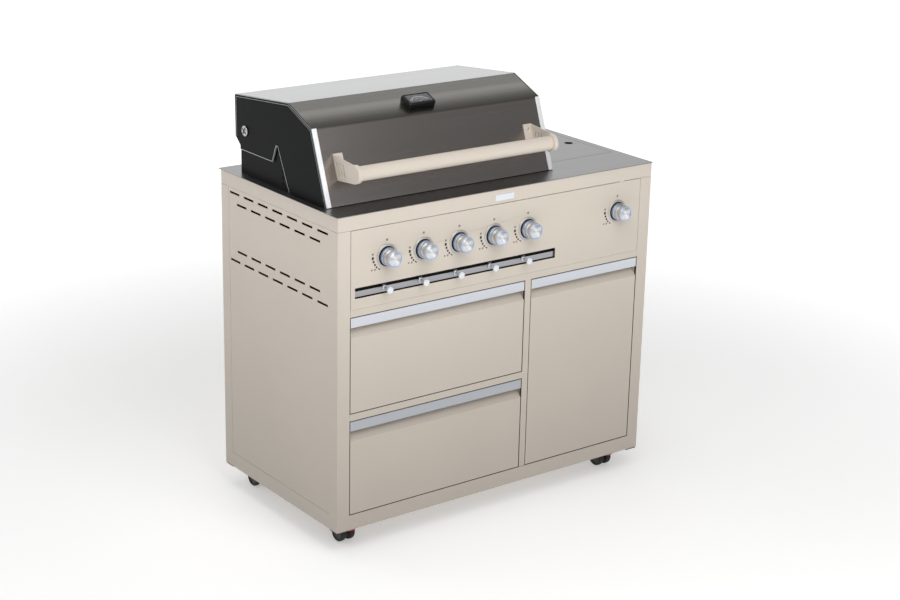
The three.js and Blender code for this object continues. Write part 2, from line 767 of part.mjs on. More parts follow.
// A folded front panel, hollow behind, with a finger scoop at its top under the grip bar
function frontPanel(width, height) {
  const s = frontSheet;
  const back = height - gripSheet - fit;
  const flush = height - gripHeight - fingerGap;
  const outline = [
    [0, 0], [frontDepth, 0], [frontDepth, back], [scoopDepth, back],
    [scoopDepth, flush + scoopRise], [0, flush],
  ];
  const hollow = [
    [s, s], [frontDepth + 1, s], [frontDepth + 1, flush + scoopRise - 2 * s],
    [scoopDepth - s / 2, flush + scoopRise - 2 * s], [s, flush - s / 2],
  ];
  return alongX(outline, [0, width]).subtract(alongX(hollow, [s, width - s]));
}

// An extruded grip bar that closes the top of a front panel and leaves room behind its lip
function gripBar(width, height) {
  const low = height - gripHeight;
  const shelf = height - gripSheet;
  return alongX([
    [0, low], [gripSheet, low], [gripSheet, shelf], [frontDepth, shelf], [frontDepth, height], [0, height],
  ], [0, width]);
}

function drawerBox(width, height) {
  const xs = [drawerSideGap, width - drawerSideGap];
  const ys = [frontDepth + fit, bodyDepth - drawerBackGap];
  const zs = [12, height - drawerHeadroom];
  const s = drawerSheet;
  const hollow = block([xs[0] + s, xs[1] - s], [ys[0] + s, ys[1] - s], [zs[0] + s, zs[1] + 1]);
  return block(xs, ys, zs).subtract(hollow);
}

// Casters: the wheels trail behind the kingpin, forwards under the front and back under the rear
const axleZ = wheelRadius - casterHeight;
const kingpins = [];
for (const [end, y, trail] of [
  ['front', frontWheelY + casterTrail, -casterTrail],
  ['back', bodyDepth - backWheelGap - casterTrail, casterTrail],
]) {
  kingpins.push({ end: `${end}_left`, x: casterInset, y, trail });
  kingpins.push({ end: `${end}_right`, x: bodyWidth - casterInset, y, trail });
}

// A swivel head on the kingpin, a canopy over the wheels and a web between them with the axle bore
function casterHousing(trail) {
  const canopyZ = axleZ + wheelRadius + 2;
  const forkX = [-forkWidth / 2, forkWidth / 2];
  const web = block(forkX, spanOn(trail, -6, casterTrail + webFront), [axleZ - 8, canopyZ + 3]);
  const canopy = block([-20, 20], spanOn(trail, -4, casterTrail + 13), [canopyZ, canopyZ + 4]);
  const head = rodZ(15, 0, 0, [canopyZ, -1.5], 20);
  const bore = rodZ(kingpinRadius + 0.4, 0, 0, [-kingpinDepth - 1, 0], 12);
  return cutBy(joined([web, canopy, head]), [bore, rodX(axleRadius + 0.4, [-10, 10], trail, axleZ, 12)]);
}

// Two wheels on one axle
function casterWheels() {
  const inner = wheelGap / 2;
  const wheels = [-1, 1].map((side) => rodX(wheelRadius, spanOn(side, inner, inner + wheelWidth), 0, 0, 32));
  return joined([...wheels, rodX(axleRadius, [-wheelGap, wheelGap], 0, 0, 12)]);
}

// A foot tab on an arm between the wheels, hinged on a barrel at its own origin
function brakePedal() {
  const barrel = 2.5;
  return joined([
    rodX(barrel, [-forkWidth / 2, forkWidth / 2], 0, 0, 12),
    block([-forkWidth / 2, forkWidth / 2], [-12, 0], [-barrel + 0.5, barrel - 0.5]),
    block([-10, 10], [-pedalLength, -10.5], [-barrel + 0.5, barrel - 0.5]),
  ]);
}

const burnerZ = worktopZ - burnerDrop;
const burnerStep = (fireRight - fireLeft) / burnerCount;
const burnerXs = Array.from({ length: burnerCount }, (_, i) => fireLeft + (i + 0.5) * burnerStep);

const frontY = -knobReach;
const backY = bodyDepth + topBackOverhang;
const grill = new THREE.Group();
grill.position.set(-bodyWidth / 2, -(frontY + backY) / 2, casterHeight);

addPart(grill, 'cart_frame', cartFrame(), paint);
addPart(grill, 'top_frame', topFrame(), paint);
addPart(grill, 'centre_frame', centreFrame(), paint);
addPart(grill, 'side_panel_left', sidePanel(-1), paint);
addPart(grill, 'side_panel_right', sidePanel(1), paint);
addPart(grill, 'back_panel', backPanel(), paint);
addPart(grill, 'floor_panel', floorPanel(), paint);
addPart(grill, 'control_panel', controlPanel(), paint);
addPart(grill, 'hook_rail', hookRail(), steel);
addPart(grill, 'worktop', worktop(), steel);
addPart(grill, 'firebox_pan', fireboxPan(), black);
addPart(grill, 'burner_bank', burnerBank(), steel);
addPart(grill, 'grate_left', grate(fireLeft + 4, hoodMiddle - 1), iron);
addPart(grill, 'grate_right', grate(hoodMiddle + 1, fireRight - 4), iron);
addPart(grill, 'side_burner_pan', sideBurnerPan(), steel);
addPart(grill, 'side_burner', sideBurner(), iron);
addPart(grill, 'pot_support', potSupport(), iron);
addPart(grill, 'gas_manifold', gasManifold(), brass);
addPart(grill, 'grease_tray', greaseTray(), steel);
addPart(grill, 'side_lid', sideLid(), steel);

const cooker = groupAt(grill, hoodMiddle, 0, 0);
for (const [side, word] of [[-1, 'left'], [1, 'right']]) {
  addPart(cooker, `firebox_side_${word}`, fireboxSide(side), black);
  addPart(cooker, `hinge_pin_${word}`, hingePin(side), chrome);
  addPart(cooker, `hood_end_${word}`, hoodEnd(side), black);
  addPart(cooker, `handle_bracket_${word}`, handleBracket(side), paint);
}
addPart(cooker, 'hood_shell', hoodShell(), darkSteel);
addPart(cooker, 'handle_tube', handleTube(), paint);

const bend = hoodOutline[1];
const crown = hoodOutline[2];
const slope = Math.atan2(crown[1] - bend[1], crown[0] - bend[0]);
const gauge = groupAt(
  grill, hoodLeft + thermoFromLeft,
  crown[0] - thermoFromCrown * Math.cos(slope), crown[1] - thermoFromCrown * Math.sin(slope),
);
gauge.rotation.x = slope;
addPart(gauge, 'thermometer', thermometer(), black);

knobXs.forEach((x, i) => {
  addPart(groupAt(grill, x, 0, knobZ), `knob_${i + 1}`, controlKnob(), chrome);
  const hookX = slotLeft + hookMargin + i * hookPitch;
  addPart(groupAt(grill, hookX, 0, slotZ), `tool_hook_${i + 1}`, toolHook(), aluminium);
});
addPart(groupAt(grill, sideKnobX, 0, knobZ), 'side_knob', controlKnob(), chrome);

const bayWidth = dividerX - tube - 2 * frontGap;
const lowerHeight = dividerZ - bottomZ - frontGap;
const upperZ = dividerZ + dividerTube + 0.5;
const upperHeight = railZ - upperZ - frontGap;
for (const [word, z, height] of [['lower', bottomZ + 0.5, lowerHeight], ['upper', upperZ, upperHeight]]) {
  const drawer = groupAt(grill, tube + frontGap, 0, z);
  addPart(drawer, `drawer_${word}_front`, frontPanel(bayWidth, height), paint);
  addPart(drawer, `drawer_${word}_bar`, gripBar(bayWidth, height), aluminium);
  addPart(drawer, `drawer_${word}_box`, drawerBox(bayWidth, height), steel);
}

const doorWidth = cupboardWidth - 2 * frontGap;
const doorHeight = railZ - bottomZ - frontGap - 0.5;
const doorway = groupAt(grill, cupboardX + frontGap, 0, bottomZ + 0.5);
addPart(doorway, 'door', frontPanel(doorWidth, doorHeight), paint);
addPart(doorway, 'door_bar', gripBar(doorWidth, doorHeight), aluminium);

for (const { end, x, y, trail } of kingpins) {
  const caster = groupAt(grill, x, y, 0);
  addPart(caster, `caster_housing_${end}`, casterHousing(trail), black);
  addPart(groupAt(caster, 0, trail, axleZ), `caster_wheels_${end}`, casterWheels(), rubber);
  if (trail < 0) {
    const pedal = groupAt(caster, 0, trail - webFront - pedalGap, axleZ + wheelRadius - 6);
    addPart(pedal, `brake_pedal_${end}`, brakePedal(), red);
  }
}

export default grill;
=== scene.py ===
import json
import math

import bmesh
import bpy
from mathutils import Matrix, Vector


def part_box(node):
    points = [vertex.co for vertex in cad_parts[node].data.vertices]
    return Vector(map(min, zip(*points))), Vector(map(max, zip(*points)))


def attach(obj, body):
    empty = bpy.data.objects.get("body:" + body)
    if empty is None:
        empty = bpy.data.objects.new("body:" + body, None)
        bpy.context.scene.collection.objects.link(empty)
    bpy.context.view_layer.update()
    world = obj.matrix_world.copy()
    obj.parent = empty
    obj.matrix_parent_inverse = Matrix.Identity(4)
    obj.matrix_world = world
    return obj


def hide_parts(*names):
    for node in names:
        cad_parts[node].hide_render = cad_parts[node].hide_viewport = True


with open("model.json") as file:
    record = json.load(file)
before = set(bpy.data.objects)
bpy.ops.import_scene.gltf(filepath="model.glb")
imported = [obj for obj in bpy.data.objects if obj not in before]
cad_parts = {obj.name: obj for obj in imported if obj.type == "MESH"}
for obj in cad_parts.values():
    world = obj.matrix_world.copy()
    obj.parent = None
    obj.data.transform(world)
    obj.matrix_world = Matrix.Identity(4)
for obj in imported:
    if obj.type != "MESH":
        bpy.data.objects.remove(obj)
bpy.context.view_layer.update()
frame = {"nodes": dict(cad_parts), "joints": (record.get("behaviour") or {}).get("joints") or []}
nodes = frame["nodes"]
print("frame loaded:", len(nodes), "nodes")

mm = 0.001
burners = range(1, 6)
knobNames = [f"knob_{i}" for i in burners] + ["side_knob"]
casterEnds = ["front_left", "front_right", "back_left", "back_right"]
brushStretch = {"X": (2.5, 900, 900), "Y": (900, 2.5, 900)}


# One output socket of a node, so that shader maths reads as arithmetic
class Wire:
    def __init__(self, tree, socket):
        self.tree = tree
        self.socket = socket

    def maths(self, operation, other=None, swapped=False):
        node = self.tree.nodes.new("ShaderNodeMath")
        node.operation = operation
        pair = [self] if other is None else ([other, self] if swapped else [self, other])
        for slot, value in zip(node.inputs, pair):
            if isinstance(value, Wire):
                self.tree.links.new(value.socket, slot)
            else:
                slot.default_value = value
        return Wire(self.tree, node.outputs[0])

    def __add__(self, other):
        return self.maths("ADD", other)

    def __sub__(self, other):
        return self.maths("SUBTRACT", other)

    def __rsub__(self, other):
        return self.maths("SUBTRACT", other, True)

    def __mul__(self, other):
        return self.maths("MULTIPLY", other)

    def __pow__(self, other):
        return self.maths("POWER", other)

    __radd__ = __add__
    __rmul__ = __mul__


# A material under construction: constants go on the shader's own sockets
class Finish:
    def __init__(self, name, colour, roughness, metallic=0.0, **more):
        self.material = bpy.data.materials.new(name)
        self.material.use_nodes = True
        self.tree = self.material.node_tree
        self.shader = self.tree.nodes["Principled BSDF"]
        self.set("Base Color", (*colour, 1))
        self.set("Roughness", roughness)
        self.set("Metallic", metallic)
        for socket, value in more.items():
            self.set(socket.replace("_", " "), value)
        self.place = self.node("TexCoord", out="Object")

    def set(self, socket, value):
        if isinstance(value, Wire):
            self.tree.links.new(value.socket, self.shader.inputs[socket])
        else:
            self.shader.inputs[socket].default_value = value

    def node(self, kind, settings=None, values=None, out=0):
        made = self.tree.nodes.new("ShaderNode" + kind)
        for key, value in (settings or {}).items():
            if key == "stops":
                for element, (at, shade) in zip(made.color_ramp.elements, value):
                    element.position = at
                    element.color = (shade, shade, shade, 1)
            else:
                setattr(made, key, value)
        for key, value in (values or {}).items():
            if isinstance(value, Wire):
                self.tree.links.new(value.socket, made.inputs[key])
            else:
                made.inputs[key].default_value = value
        return Wire(self.tree, made.outputs[out])

    def stretched(self, scale):
        return self.node("VectorMath", {"operation": "MULTIPLY"}, {0: self.place, 1: scale})

    def along(self, axis):
        return self.node("SeparateXYZ", None, {0: self.place}, axis)

    def noise(self, scale, detail=3.0, roughness=0.55, stretch=None):
        where = self.stretched(stretch) if stretch else self.place
        values = {"Vector": where, "Scale": scale, "Detail": detail, "Roughness": roughness}
        return self.node("TexNoise", None, values)

    # Streaks of a brushed surface: fine ones and broad ones, all along one axis
    def brushGrain(self, along="X"):
        streaks = self.noise(1.0, 4, 0.6, brushStretch[along])
        broad = self.noise(0.12, 3, 0.5, brushStretch[along])
        return streaks * 0.55 + broad * 0.45

    # Spreads a narrow range of values over 0 to 1
    def spread(self, value, start, end):
        return self.node("ValToRGB", {"stops": [(start, 0.0), (end, 1.0)]}, {"Fac": value})

    def eased(self, value, start, end, curve="LINEAR"):
        values = {"Value": value, "From Min": start, "From Max": end}
        return self.node("MapRange", {"interpolation_type": curve}, values)

    def mixed(self, share, low, high):
        low = low if isinstance(low, Wire) else (*low, 1)
        high = high if isinstance(high, Wire) else (*high, 1)
        return self.node("Mix", {"data_type": "RGBA"}, {0: share, 6: low, 7: high}, 2)

    def dimmed(self, share, colour, level):
        values = {0: share, 6: colour, 7: (level, level, level, 1)}
        return self.node("Mix", {"data_type": "RGBA", "blend_type": "MULTIPLY"}, values, 2)

    def bumps(self, height, strength, distance):
        bump = self.node("Bump", None, {"Height": height, "Strength": strength, "Distance": distance})
        self.set("Normal", bump)


def darker(colour, share):
    return tuple(channel * share for channel in colour)


# Powder coat: fine orange peel and speckle, with painted shade making it duller and darker towards the floor
powder = {
    "colour": (0.640, 0.575, 0.500),
    "shade": 0.95,
    "lowShade": 0.76,
    "lowEnd": 0.05,
    "highEnd": 0.78,
    "roughness": 0.46,
    "orangePeel": 420,
    "speckle": 1900,
    "bump": 0.16,
    "texture": 0.00012,
}


def powderCoat():
    p = powder
    finish = Finish("powderCoat", p["colour"], p["roughness"], Specular_IOR_Level=0.4)
    clouds = finish.noise(3.2, 4)
    speckle = finish.noise(p["speckle"], 1)
    peel = finish.noise(p["orangePeel"], 2)
    tone = finish.spread(clouds * 0.7 + speckle * 0.3, 0.3, 0.72)
    # painted shade: the colour darkens towards the floor, standing in for the light falling off low down
    unshadedShare = finish.eased(finish.along("Z"), p["lowEnd"], p["highEnd"])
    paintedShadeColour = darker(p["colour"], p["lowShade"])
    low = finish.mixed(tone, darker(paintedShadeColour, p["shade"]), paintedShadeColour)
    high = finish.mixed(tone, darker(p["colour"], p["shade"]), p["colour"])
    finish.set("Base Color", finish.mixed(unshadedShare, low, high))
    handling = finish.noise(14, 5, 0.7)
    finish.set("Roughness", handling * 0.14 + (p["roughness"] - 0.07))
    finish.bumps(peel * 0.7 + speckle * 0.3, p["bump"], p["texture"])
    return finish.material


# Brushed metal: streaks along one axis, with a slow cloudy change of tone
brushing = {
    "start": 0.25,
    "end": 0.75,
    "dark": 0.55,
    "cloud": 0.05,
    "gloss": 0.16,
    "bump": 0.09,
    "texture": 0.0001,
}


def brushRelief(finish, grain, roughness):
    finish.set("Roughness", grain * brushing["gloss"] + (roughness - brushing["gloss"] / 2))
    finish.bumps(grain, brushing["bump"], brushing["texture"])


def brushed(name, colour, roughness, along="X", metallic=1.0, contrast=0.16):
    finish = Finish(name, colour, roughness, metallic)
    grain = finish.brushGrain(along)
    clouds = finish.noise(2.1, 3)
    tone = finish.spread(grain, brushing["start"], brushing["end"])
    share = tone * contrast + clouds * brushing["cloud"]
    finish.set("Base Color", finish.mixed(share, colour, darker(colour, brushing["dark"])))
    brushRelief(finish, grain, roughness)
    return finish.material


# The hood's steel, with painted reflection: each facet gets its own tone, standing in for the different
# surroundings it reflects
hoodSteel = {
    # facet colours: painted reflection, one tone for each facet
    "front": (0.400, 0.366, 0.350),
    "slope": (0.185, 0.179, 0.158),
    "crown": (0.325, 0.328, 0.336),
    "bendY": 0.070,
    "crownY": 0.1783,
    "blend": 0.002,
    "roughness": 0.25,
    "contrast": 0.14,
}


def hoodSteelFinish():
    s = hoodSteel
    finish = Finish("hoodSteel", s["front"], s["roughness"], 1.0)
    grain = finish.brushGrain()
    clouds = finish.noise(2.1, 3)
    depth = finish.along("Y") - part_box("hood_end_left")[0].y
    # painted reflection: the front, slope and crown are coloured for what each facet reflects
    pastBend = finish.eased(depth, s["bendY"] - s["blend"], s["bendY"])
    pastCrown = finish.eased(depth, s["crownY"] - s["blend"], s["crownY"])
    paintedFacetReflections = finish.mixed(pastCrown, finish.mixed(pastBend, s["front"], s["slope"]), s["crown"])
    tone = finish.spread(grain, brushing["start"], brushing["end"])
    share = tone * s["contrast"] + clouds * brushing["cloud"]
    finish.set("Base Color", finish.dimmed(share, paintedFacetReflections, brushing["dark"]))
    brushRelief(finish, grain, s["roughness"])
    return finish.material


# Grip bars, with painted shade making them darker low down on the cart
anodising = {
    "colour": (0.76, 0.79, 0.84),
    "lowShade": 0.62,
    "lowEnd": 0.48,
    "highEnd": 0.70,
    "roughness": 0.42,
    "contrast": 0.2,
    "dark": 0.6,
}


def gripFinish():
    a = anodising
    finish = Finish("anodisedGrip", a["colour"], a["roughness"], 1.0)
    grain = finish.noise(1.0, 4, 0.6, brushStretch["X"])
    # painted shade: bars lower on the cart get a darker colour, standing in for the darker reflection there
    gripUnshadedShare = finish.eased(finish.along("Z"), a["lowEnd"], a["highEnd"])
    base = finish.mixed(gripUnshadedShare, darker(a["colour"], a["lowShade"]), a["colour"])
    tone = finish.spread(grain, brushing["start"], brushing["end"])
    finish.set("Base Color", finish.dimmed(tone * a["contrast"], base, a["dark"]))
    brushRelief(finish, grain, a["roughness"])
    return finish.material


def blackEnamel():
    finish = Finish("blackEnamel", (0.004, 0.0042, 0.0046), 0.34, 0.0, Specular_IOR_Level=0.05)
    wipe = finish.noise(1.0, 4, 0.6, (60, 3, 7))
    clouds = finish.noise(5, 4)
    fine = finish.noise(1300, 1)
    tone = finish.spread(wipe * 0.6 + clouds * 0.4, 0.35, 0.7)
    finish.set("Base Color", finish.mixed(tone, (0.0035, 0.0037, 0.0042), (0.0085, 0.0095, 0.0110)))
    finish.set("Roughness", wipe * 0.2 + 0.25)
    finish.bumps(fine * 0.5 + clouds * 0.5, 0.07, 0.0001)
    return finish.material


def castIron():
    finish = Finish("castIron", (0.025, 0.025, 0.026), 0.62, 0.2)
    pits = finish.noise(520, 4, 0.7)
    clouds = finish.noise(24, 3)
    finish.set("Base Color", finish.mixed(clouds, (0.018, 0.018, 0.019), (0.045, 0.042, 0.040)))
    finish.set("Roughness", pits * 0.3 + 0.45)
    finish.bumps(pits, 0.4, 0.0004)
    return finish.material


def plastic(name, colour, roughness, grain=900, coat=0.0):
    finish = Finish(name, colour, roughness, Coat_Weight=coat)
    texture = finish.noise(grain, 2)
    clouds = finish.noise(18, 3)
    finish.set("Base Color", finish.mixed(clouds, darker(colour, 0.8), colour))
    finish.set("Roughness", clouds * 0.16 + (roughness - 0.08))
    finish.bumps(texture, 0.18, 0.00015)
    return finish.material


def polished(name, colour, roughness, metallic=1.0):
    finish = Finish(name, colour, roughness, metallic)
    smudges = finish.noise(45, 4, 0.6)
    swirl = finish.noise(600, 2)
    finish.set("Base Color", finish.mixed(smudges, darker(colour, 0.93), colour))
    finish.set("Roughness", smudges * 0.1 + roughness)
    finish.bumps(swirl, 0.03, 0.0001)
    return finish.material


# A face turned on a lathe: fine rings in the relief, with bright fans painted into the colour as painted
# highlight and dull fans as painted shade
spun = {
    "colour": (0.90, 0.91, 0.93),
    "metallic": 0.72,
    "ringPitch": 9000,
    "brightTurn": 3.49,
    "brightPower": 6,
    "dullTurn": 1.955,
    "dullPower": 4,
    "dullShare": 0.7,
    "middle": 0.74,
    "dark": 0.42,
}


def spunFace(name, centre):
    s = spun
    finish = Finish(name, s["colour"], 0.26, s["metallic"])
    local = finish.node("VectorMath", {"operation": "SUBTRACT"}, {0: finish.place, 1: centre})
    across = finish.node("SeparateXYZ", None, {0: local}, "X")
    up = finish.node("SeparateXYZ", None, {0: local}, "Z")
    radius = (across * across + up * up) ** 0.5
    angle = up.maths("ARCTAN2", across)
    rings = (radius * s["ringPitch"]).maths("SINE")

    # painted highlight and painted shade: fans in the colour at fixed angles, where the rings would catch or
    # miss the light
    def paintedFans(turn, power):
        return ((angle * 2.0 + turn).maths("SINE") * 0.5 + 0.5) ** power

    middle = darker(s["colour"], s["middle"])
    paintedHighlight = finish.mixed(paintedFans(s["brightTurn"], s["brightPower"]), middle, s["colour"])
    paintedDarkFans = paintedFans(s["dullTurn"], s["dullPower"]) * s["dullShare"]
    finish.set("Base Color", finish.mixed(paintedDarkFans, paintedHighlight, darker(s["colour"], s["dark"])))
    finish.set("Roughness", rings * 0.03 + 0.27)
    finish.bumps(rings, 0.12, 0.00004)
    return finish.material


# Printed marks, with the slightly ragged edge and tone of pad printing
def printed(name, colour):
    finish = Finish(name, colour, 0.5)
    ink = finish.noise(2600, 2)
    finish.set("Base Color", finish.mixed(ink, darker(colour, 0.7), colour))
    finish.bumps(ink, 0.1, 0.00005)
    return finish.material


finishes = {
    "powder": powderCoat(),
    "worktop": brushed("worktopSteel", (0.265, 0.265, 0.27), 0.33, contrast=0.12),
    "steel": brushed("brushedSteel", (0.55, 0.55, 0.55), 0.32),
    "rail": brushed("railSteel", (0.43, 0.43, 0.45), 0.30, contrast=0.62),
    "hood": hoodSteelFinish(),
    "inside": brushed("plainSheet", (0.50, 0.51, 0.52), 0.42, "Y"),
    # near-white trim on the hood's front edges: partly a real edge strip, its whiteness a painted highlight
    "edge": polished("paintedHighlightEdge", (0.93, 0.94, 0.96), 0.34, 0.35),
    "enamel": blackEnamel(),
    "iron": castIron(),
    "grip": gripFinish(),
    "satin": polished("satinAluminium", (0.66, 0.645, 0.62), 0.38),
    "flange": polished("dullFlange", (0.52, 0.50, 0.475), 0.42, 0.55),
    "peg": polished("bluishAluminium", (0.80, 0.84, 0.90), 0.38, 0.7),
    # light grey lines on the hood's end plates: painted highlight along folded edges
    "paintedEdgeHighlight": polished("paintedEdgeHighlight", (0.46, 0.48, 0.50), 0.35, 0.6),
    "pin": polished("zincPin", (0.42, 0.42, 0.43), 0.16),
    "clip": polished("darkClip", (0.13, 0.13, 0.135), 0.4, 0.6),
    "tab": polished("foldedTab", (0.055, 0.058, 0.055), 0.45, 0.3),
    # dark strips round the bays: painted shade for the gaps
    "gapShade": plastic("bayShadeStrip", (0.032, 0.023, 0.016), 0.8, 1600),
    "chrome": polished("chromePlate", (0.90, 0.91, 0.93), 0.07),
    # blue rims on the knobs: the blue is painted reflection on their chamfers
    "blueRim": polished("paintedBlueReflection", (0.40, 0.52, 0.77), 0.30, 0.65),
    "brass": polished("plainBrass", (0.62, 0.45, 0.18), 0.28),
    "plastic": plastic("blackPlastic", (0.020, 0.020, 0.022), 0.42),
    "tread": plastic("tyreRubber", (0.016, 0.016, 0.017), 0.68, 1500),
    "hub": plastic("wheelHub", (0.030, 0.030, 0.033), 0.38),
    "red": plastic("redTab", (0.62, 0.030, 0.025), 0.32, coat=0.3),
    # black: print on the panel, and painted shade in the pin recesses and burner ports
    "black": printed("blackPrintAndHoleShade", (0.020, 0.018, 0.017)),
    "grey": printed("greyPrint", (0.26, 0.22, 0.19)),
    "white": printed("dialPrint", (0.85, 0.85, 0.84)),
    "case": plastic("gaugeCase", (0.006, 0.006, 0.007), 0.3, 1200),
    "dial": plastic("dialCard", (0.040, 0.042, 0.048), 0.5, 2200),
    # near-black: painted shade in the knob grooves, behind the hook slot and at its end
    "shadeBlack": plastic("paintedShadeBlack", (0.006, 0.006, 0.006), 0.8),
    "badge": brushed("blankBadge", (0.80, 0.82, 0.88), 0.34, metallic=0.75, contrast=0.15),
    "galvanised": polished("zincRunner", (0.60, 0.61, 0.62), 0.34),
}
finishes["glass"] = Finish("dialGlass", (0.9, 0.92, 0.95), 0.04, Alpha=0.06, Specular_IOR_Level=0.2).material
print("finishes made:", len(finishes))


# Meshes
def newPiece(name, mesh, finish, body, smoothAngle=30):
    piece = bpy.data.objects.new(name, mesh)
    bpy.context.scene.collection.objects.link(piece)
    mesh.materials.append(finishes[finish])
    for face in mesh.polygons:
        face.use_smooth = smoothAngle > 0
    if smoothAngle > 0:
        mesh.set_sharp_from_angle(angle=math.radians(smoothAngle))
    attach(piece, body)
    return piece


def meshOf(build):
    form = bmesh.new()
    build(form)
    bmesh.ops.recalc_face_normals(form, faces=form.faces)
    mesh = bpy.data.meshes.new("piece")
    form.to_mesh(mesh)
    form.free()
    return mesh


def rounded(piece, width, segments=2, angle=35):
    bevel = piece.modifiers.new("roundedEdges", "BEVEL")
    bevel.width = width
    bevel.segments = segments
    bevel.limit_method = "ANGLE"
    bevel.angle_limit = math.radians(angle)
    bevel.use_clamp_overlap = True
    return piece


# Turns [radius, distance] points about an axis through centre: "X", "-Y" and so on
axes = {
    "X": (0, 1, 2, 1), "-X": (0, 1, 2, -1),
    "Y": (1, 0, 2, 1), "-Y": (1, 0, 2, -1),
    "Z": (2, 0, 1, 1),
}


def turnedMesh(profile, centre, axis, segments=64):
    main, first, second, sign = axes[axis]

    def build(form):
        rings = []
        for radius, distance in profile:
            if radius < 1e-7:
                point = list(centre)
                point[main] += sign * distance
                rings.append([form.verts.new(point)])
                continue
            ring = []
            for step in range(segments):
                turn = 2 * math.pi * step / segments
                point = list(centre)
                point[main] += sign * distance
                point[first] += radius * math.cos(turn)
                point[second] += radius * math.sin(turn)
                ring.append(form.verts.new(point))
            rings.append(ring)
        for low, high in zip(rings, rings[1:]):
            for i in range(segments):
                j = (i + 1) % segments
                corners = [low[i % len(low)], low[j % len(low)], high[j % len(high)], high[i % len(high)]]
                corners = list(dict.fromkeys(corners))
                if len(corners) > 2:
                    form.faces.new(corners)

    return meshOf(build)


# Extrudes an outline of (a, b) points along an axis, from low to high
def slabMesh(outline, axis, low, high):
    main = "XYZ".index(axis)
    first, second = [i for i in range(3) if i != main]

    def build(form):
        ends = []
        for level in (low, high):
            ring = []
            for a, b in outline:
                point = [0, 0, 0]
                point[main], point[first], point[second] = level, a, b
                ring.append(form.verts.new(point))
            ends.append(ring)
        form.faces.new(ends[0])
        form.faces.new(ends[1])
        for i in range(len(outline)):
            j = (i + 1) % len(outline)
            form.faces.new([ends[0][i], ends[0][j], ends[1][j], ends[1][i]])

    return meshOf(build)


def blockMesh(low, high):
    outline = [(low[0], low[2]), (high[0], low[2]), (high[0], high[2]), (low[0], high[2])]
    return slabMesh(outline, "Y", low[1], high[1])


def mergedMesh(meshes):
    form = bmesh.new()
    for mesh in meshes:
        form.from_mesh(mesh)
    whole = bpy.data.meshes.new("piece")
    form.to_mesh(whole)
    form.free()
    return whole


# Rounded rectangle as (a, b) points
def roundedOutline(low, high, radius, steps=5):
    corners = [
        (high[0] - radius, high[1] - radius, 0), (low[0] + radius, high[1] - radius, 90),
        (low[0] + radius, low[1] + radius, 180), (high[0] - radius, low[1] + radius, 270),
    ]
    points = []
    for a, b, start in corners:
        for step in range(steps + 1):
            turn = math.radians(start + 90 * step / steps)
            points.append((a + radius * math.cos(turn), b + radius * math.sin(turn)))
    return points


# CAD nodes that stay, each with its finish and the radius of its edges
carried = {
    "cart_frame": ("powder", 1.0), "top_frame": ("powder", 1.0), "centre_frame": ("powder", 0.8),
    "side_panel_left": ("powder", 0.3), "side_panel_right": ("powder", 0.3), "back_panel": ("powder", 0.3),
    "floor_panel": ("powder", 0.3), "control_panel": ("powder", 0.5), "hook_rail": ("rail", 0.4),
    "worktop": ("worktop", 0.4), "firebox_pan": ("enamel", 0.5), "firebox_side_left": ("enamel", 0.4),
    "firebox_side_right": ("enamel", 0.4), "burner_bank": ("steel", 0.3), "grate_left": ("iron", 1.2),
    "grate_right": ("iron", 1.2), "side_burner_pan": ("steel", 0.3), "side_burner": ("iron", 1.0),
    "pot_support": ("iron", 0.9), "gas_manifold": ("brass", 0.8), "grease_tray": ("steel", 0.3),
    "side_lid": ("worktop", 0.3), "hinge_pin_left": ("chrome", 0.8), "hinge_pin_right": ("chrome", 0.8),
    "hood_shell": ("hood", 0.7), "hood_end_left": ("enamel", 0.5), "hood_end_right": ("enamel", 0.5),
    "handle_bracket_left": ("powder", 0.9), "handle_bracket_right": ("powder", 0.9),
    "drawer_upper_front": ("powder", 0.6), "drawer_upper_bar": ("grip", 0.4),
    "drawer_upper_box": ("inside", 0.2), "drawer_lower_front": ("powder", 0.6),
    "drawer_lower_bar": ("grip", 0.4), "drawer_lower_box": ("inside", 0.2),
    "door": ("powder", 0.6), "door_bar": ("grip", 0.4),
    "brake_pedal_front_left": ("red", 0.8), "brake_pedal_front_right": ("red", 0.8),
}


def dressCadNode(name, finish, edge):
    piece = nodes[name]
    piece.data.materials.clear()
    piece.data.materials.append(finishes[finish])
    weld = piece.modifiers.new("weld", "WELD")
    weld.merge_threshold = 0.00001
    rounded(piece, edge * mm, 2)
    for face in piece.data.polygons:
        face.use_smooth = True
    smooth = piece.modifiers.new("flatFaces", "WEIGHTED_NORMAL")
    smooth.keep_sharp = False
    smooth.weight = 100


for name, (finish, edge) in carried.items():
    dressCadNode(name, finish, edge)
for end in casterEnds:
    dressCadNode(f"caster_housing_{end}", "plastic", 1.2)
print("carried nodes dressed")


# Control knobs: a fixed flange with a groove on the panel whose floor is near-black as painted shadow, and a
# turning knob with a skirt
knobShape = {
    "flangeRadius": 31.5,
    "grooveRadius": 25.9,
    "flangeHeight": 3.4,
    "skirtRadius": 23.6,
    "skirtBack": 4.6,
    "skirtFront": 12.5,
    "ringLength": 4.4,
    "drumRadius": 20.6,
    "drumLength": 6.8,
    "waistRadius": 17.0,
    "headBack": 27.0,
    "headRadius": 21.6,
    "rimWidth": 3.4,
    "boreRadius": 7.2,
}


# A lathe-turned piece from a profile in millimetres
def turnedPiece(name, profile, centre, axis, look, body, segments=80, smoothAngle=40):
    points = [(radius * mm, distance * mm) for radius, distance in profile]
    return newPiece(name, turnedMesh(points, centre, axis, segments), look, body, smoothAngle)


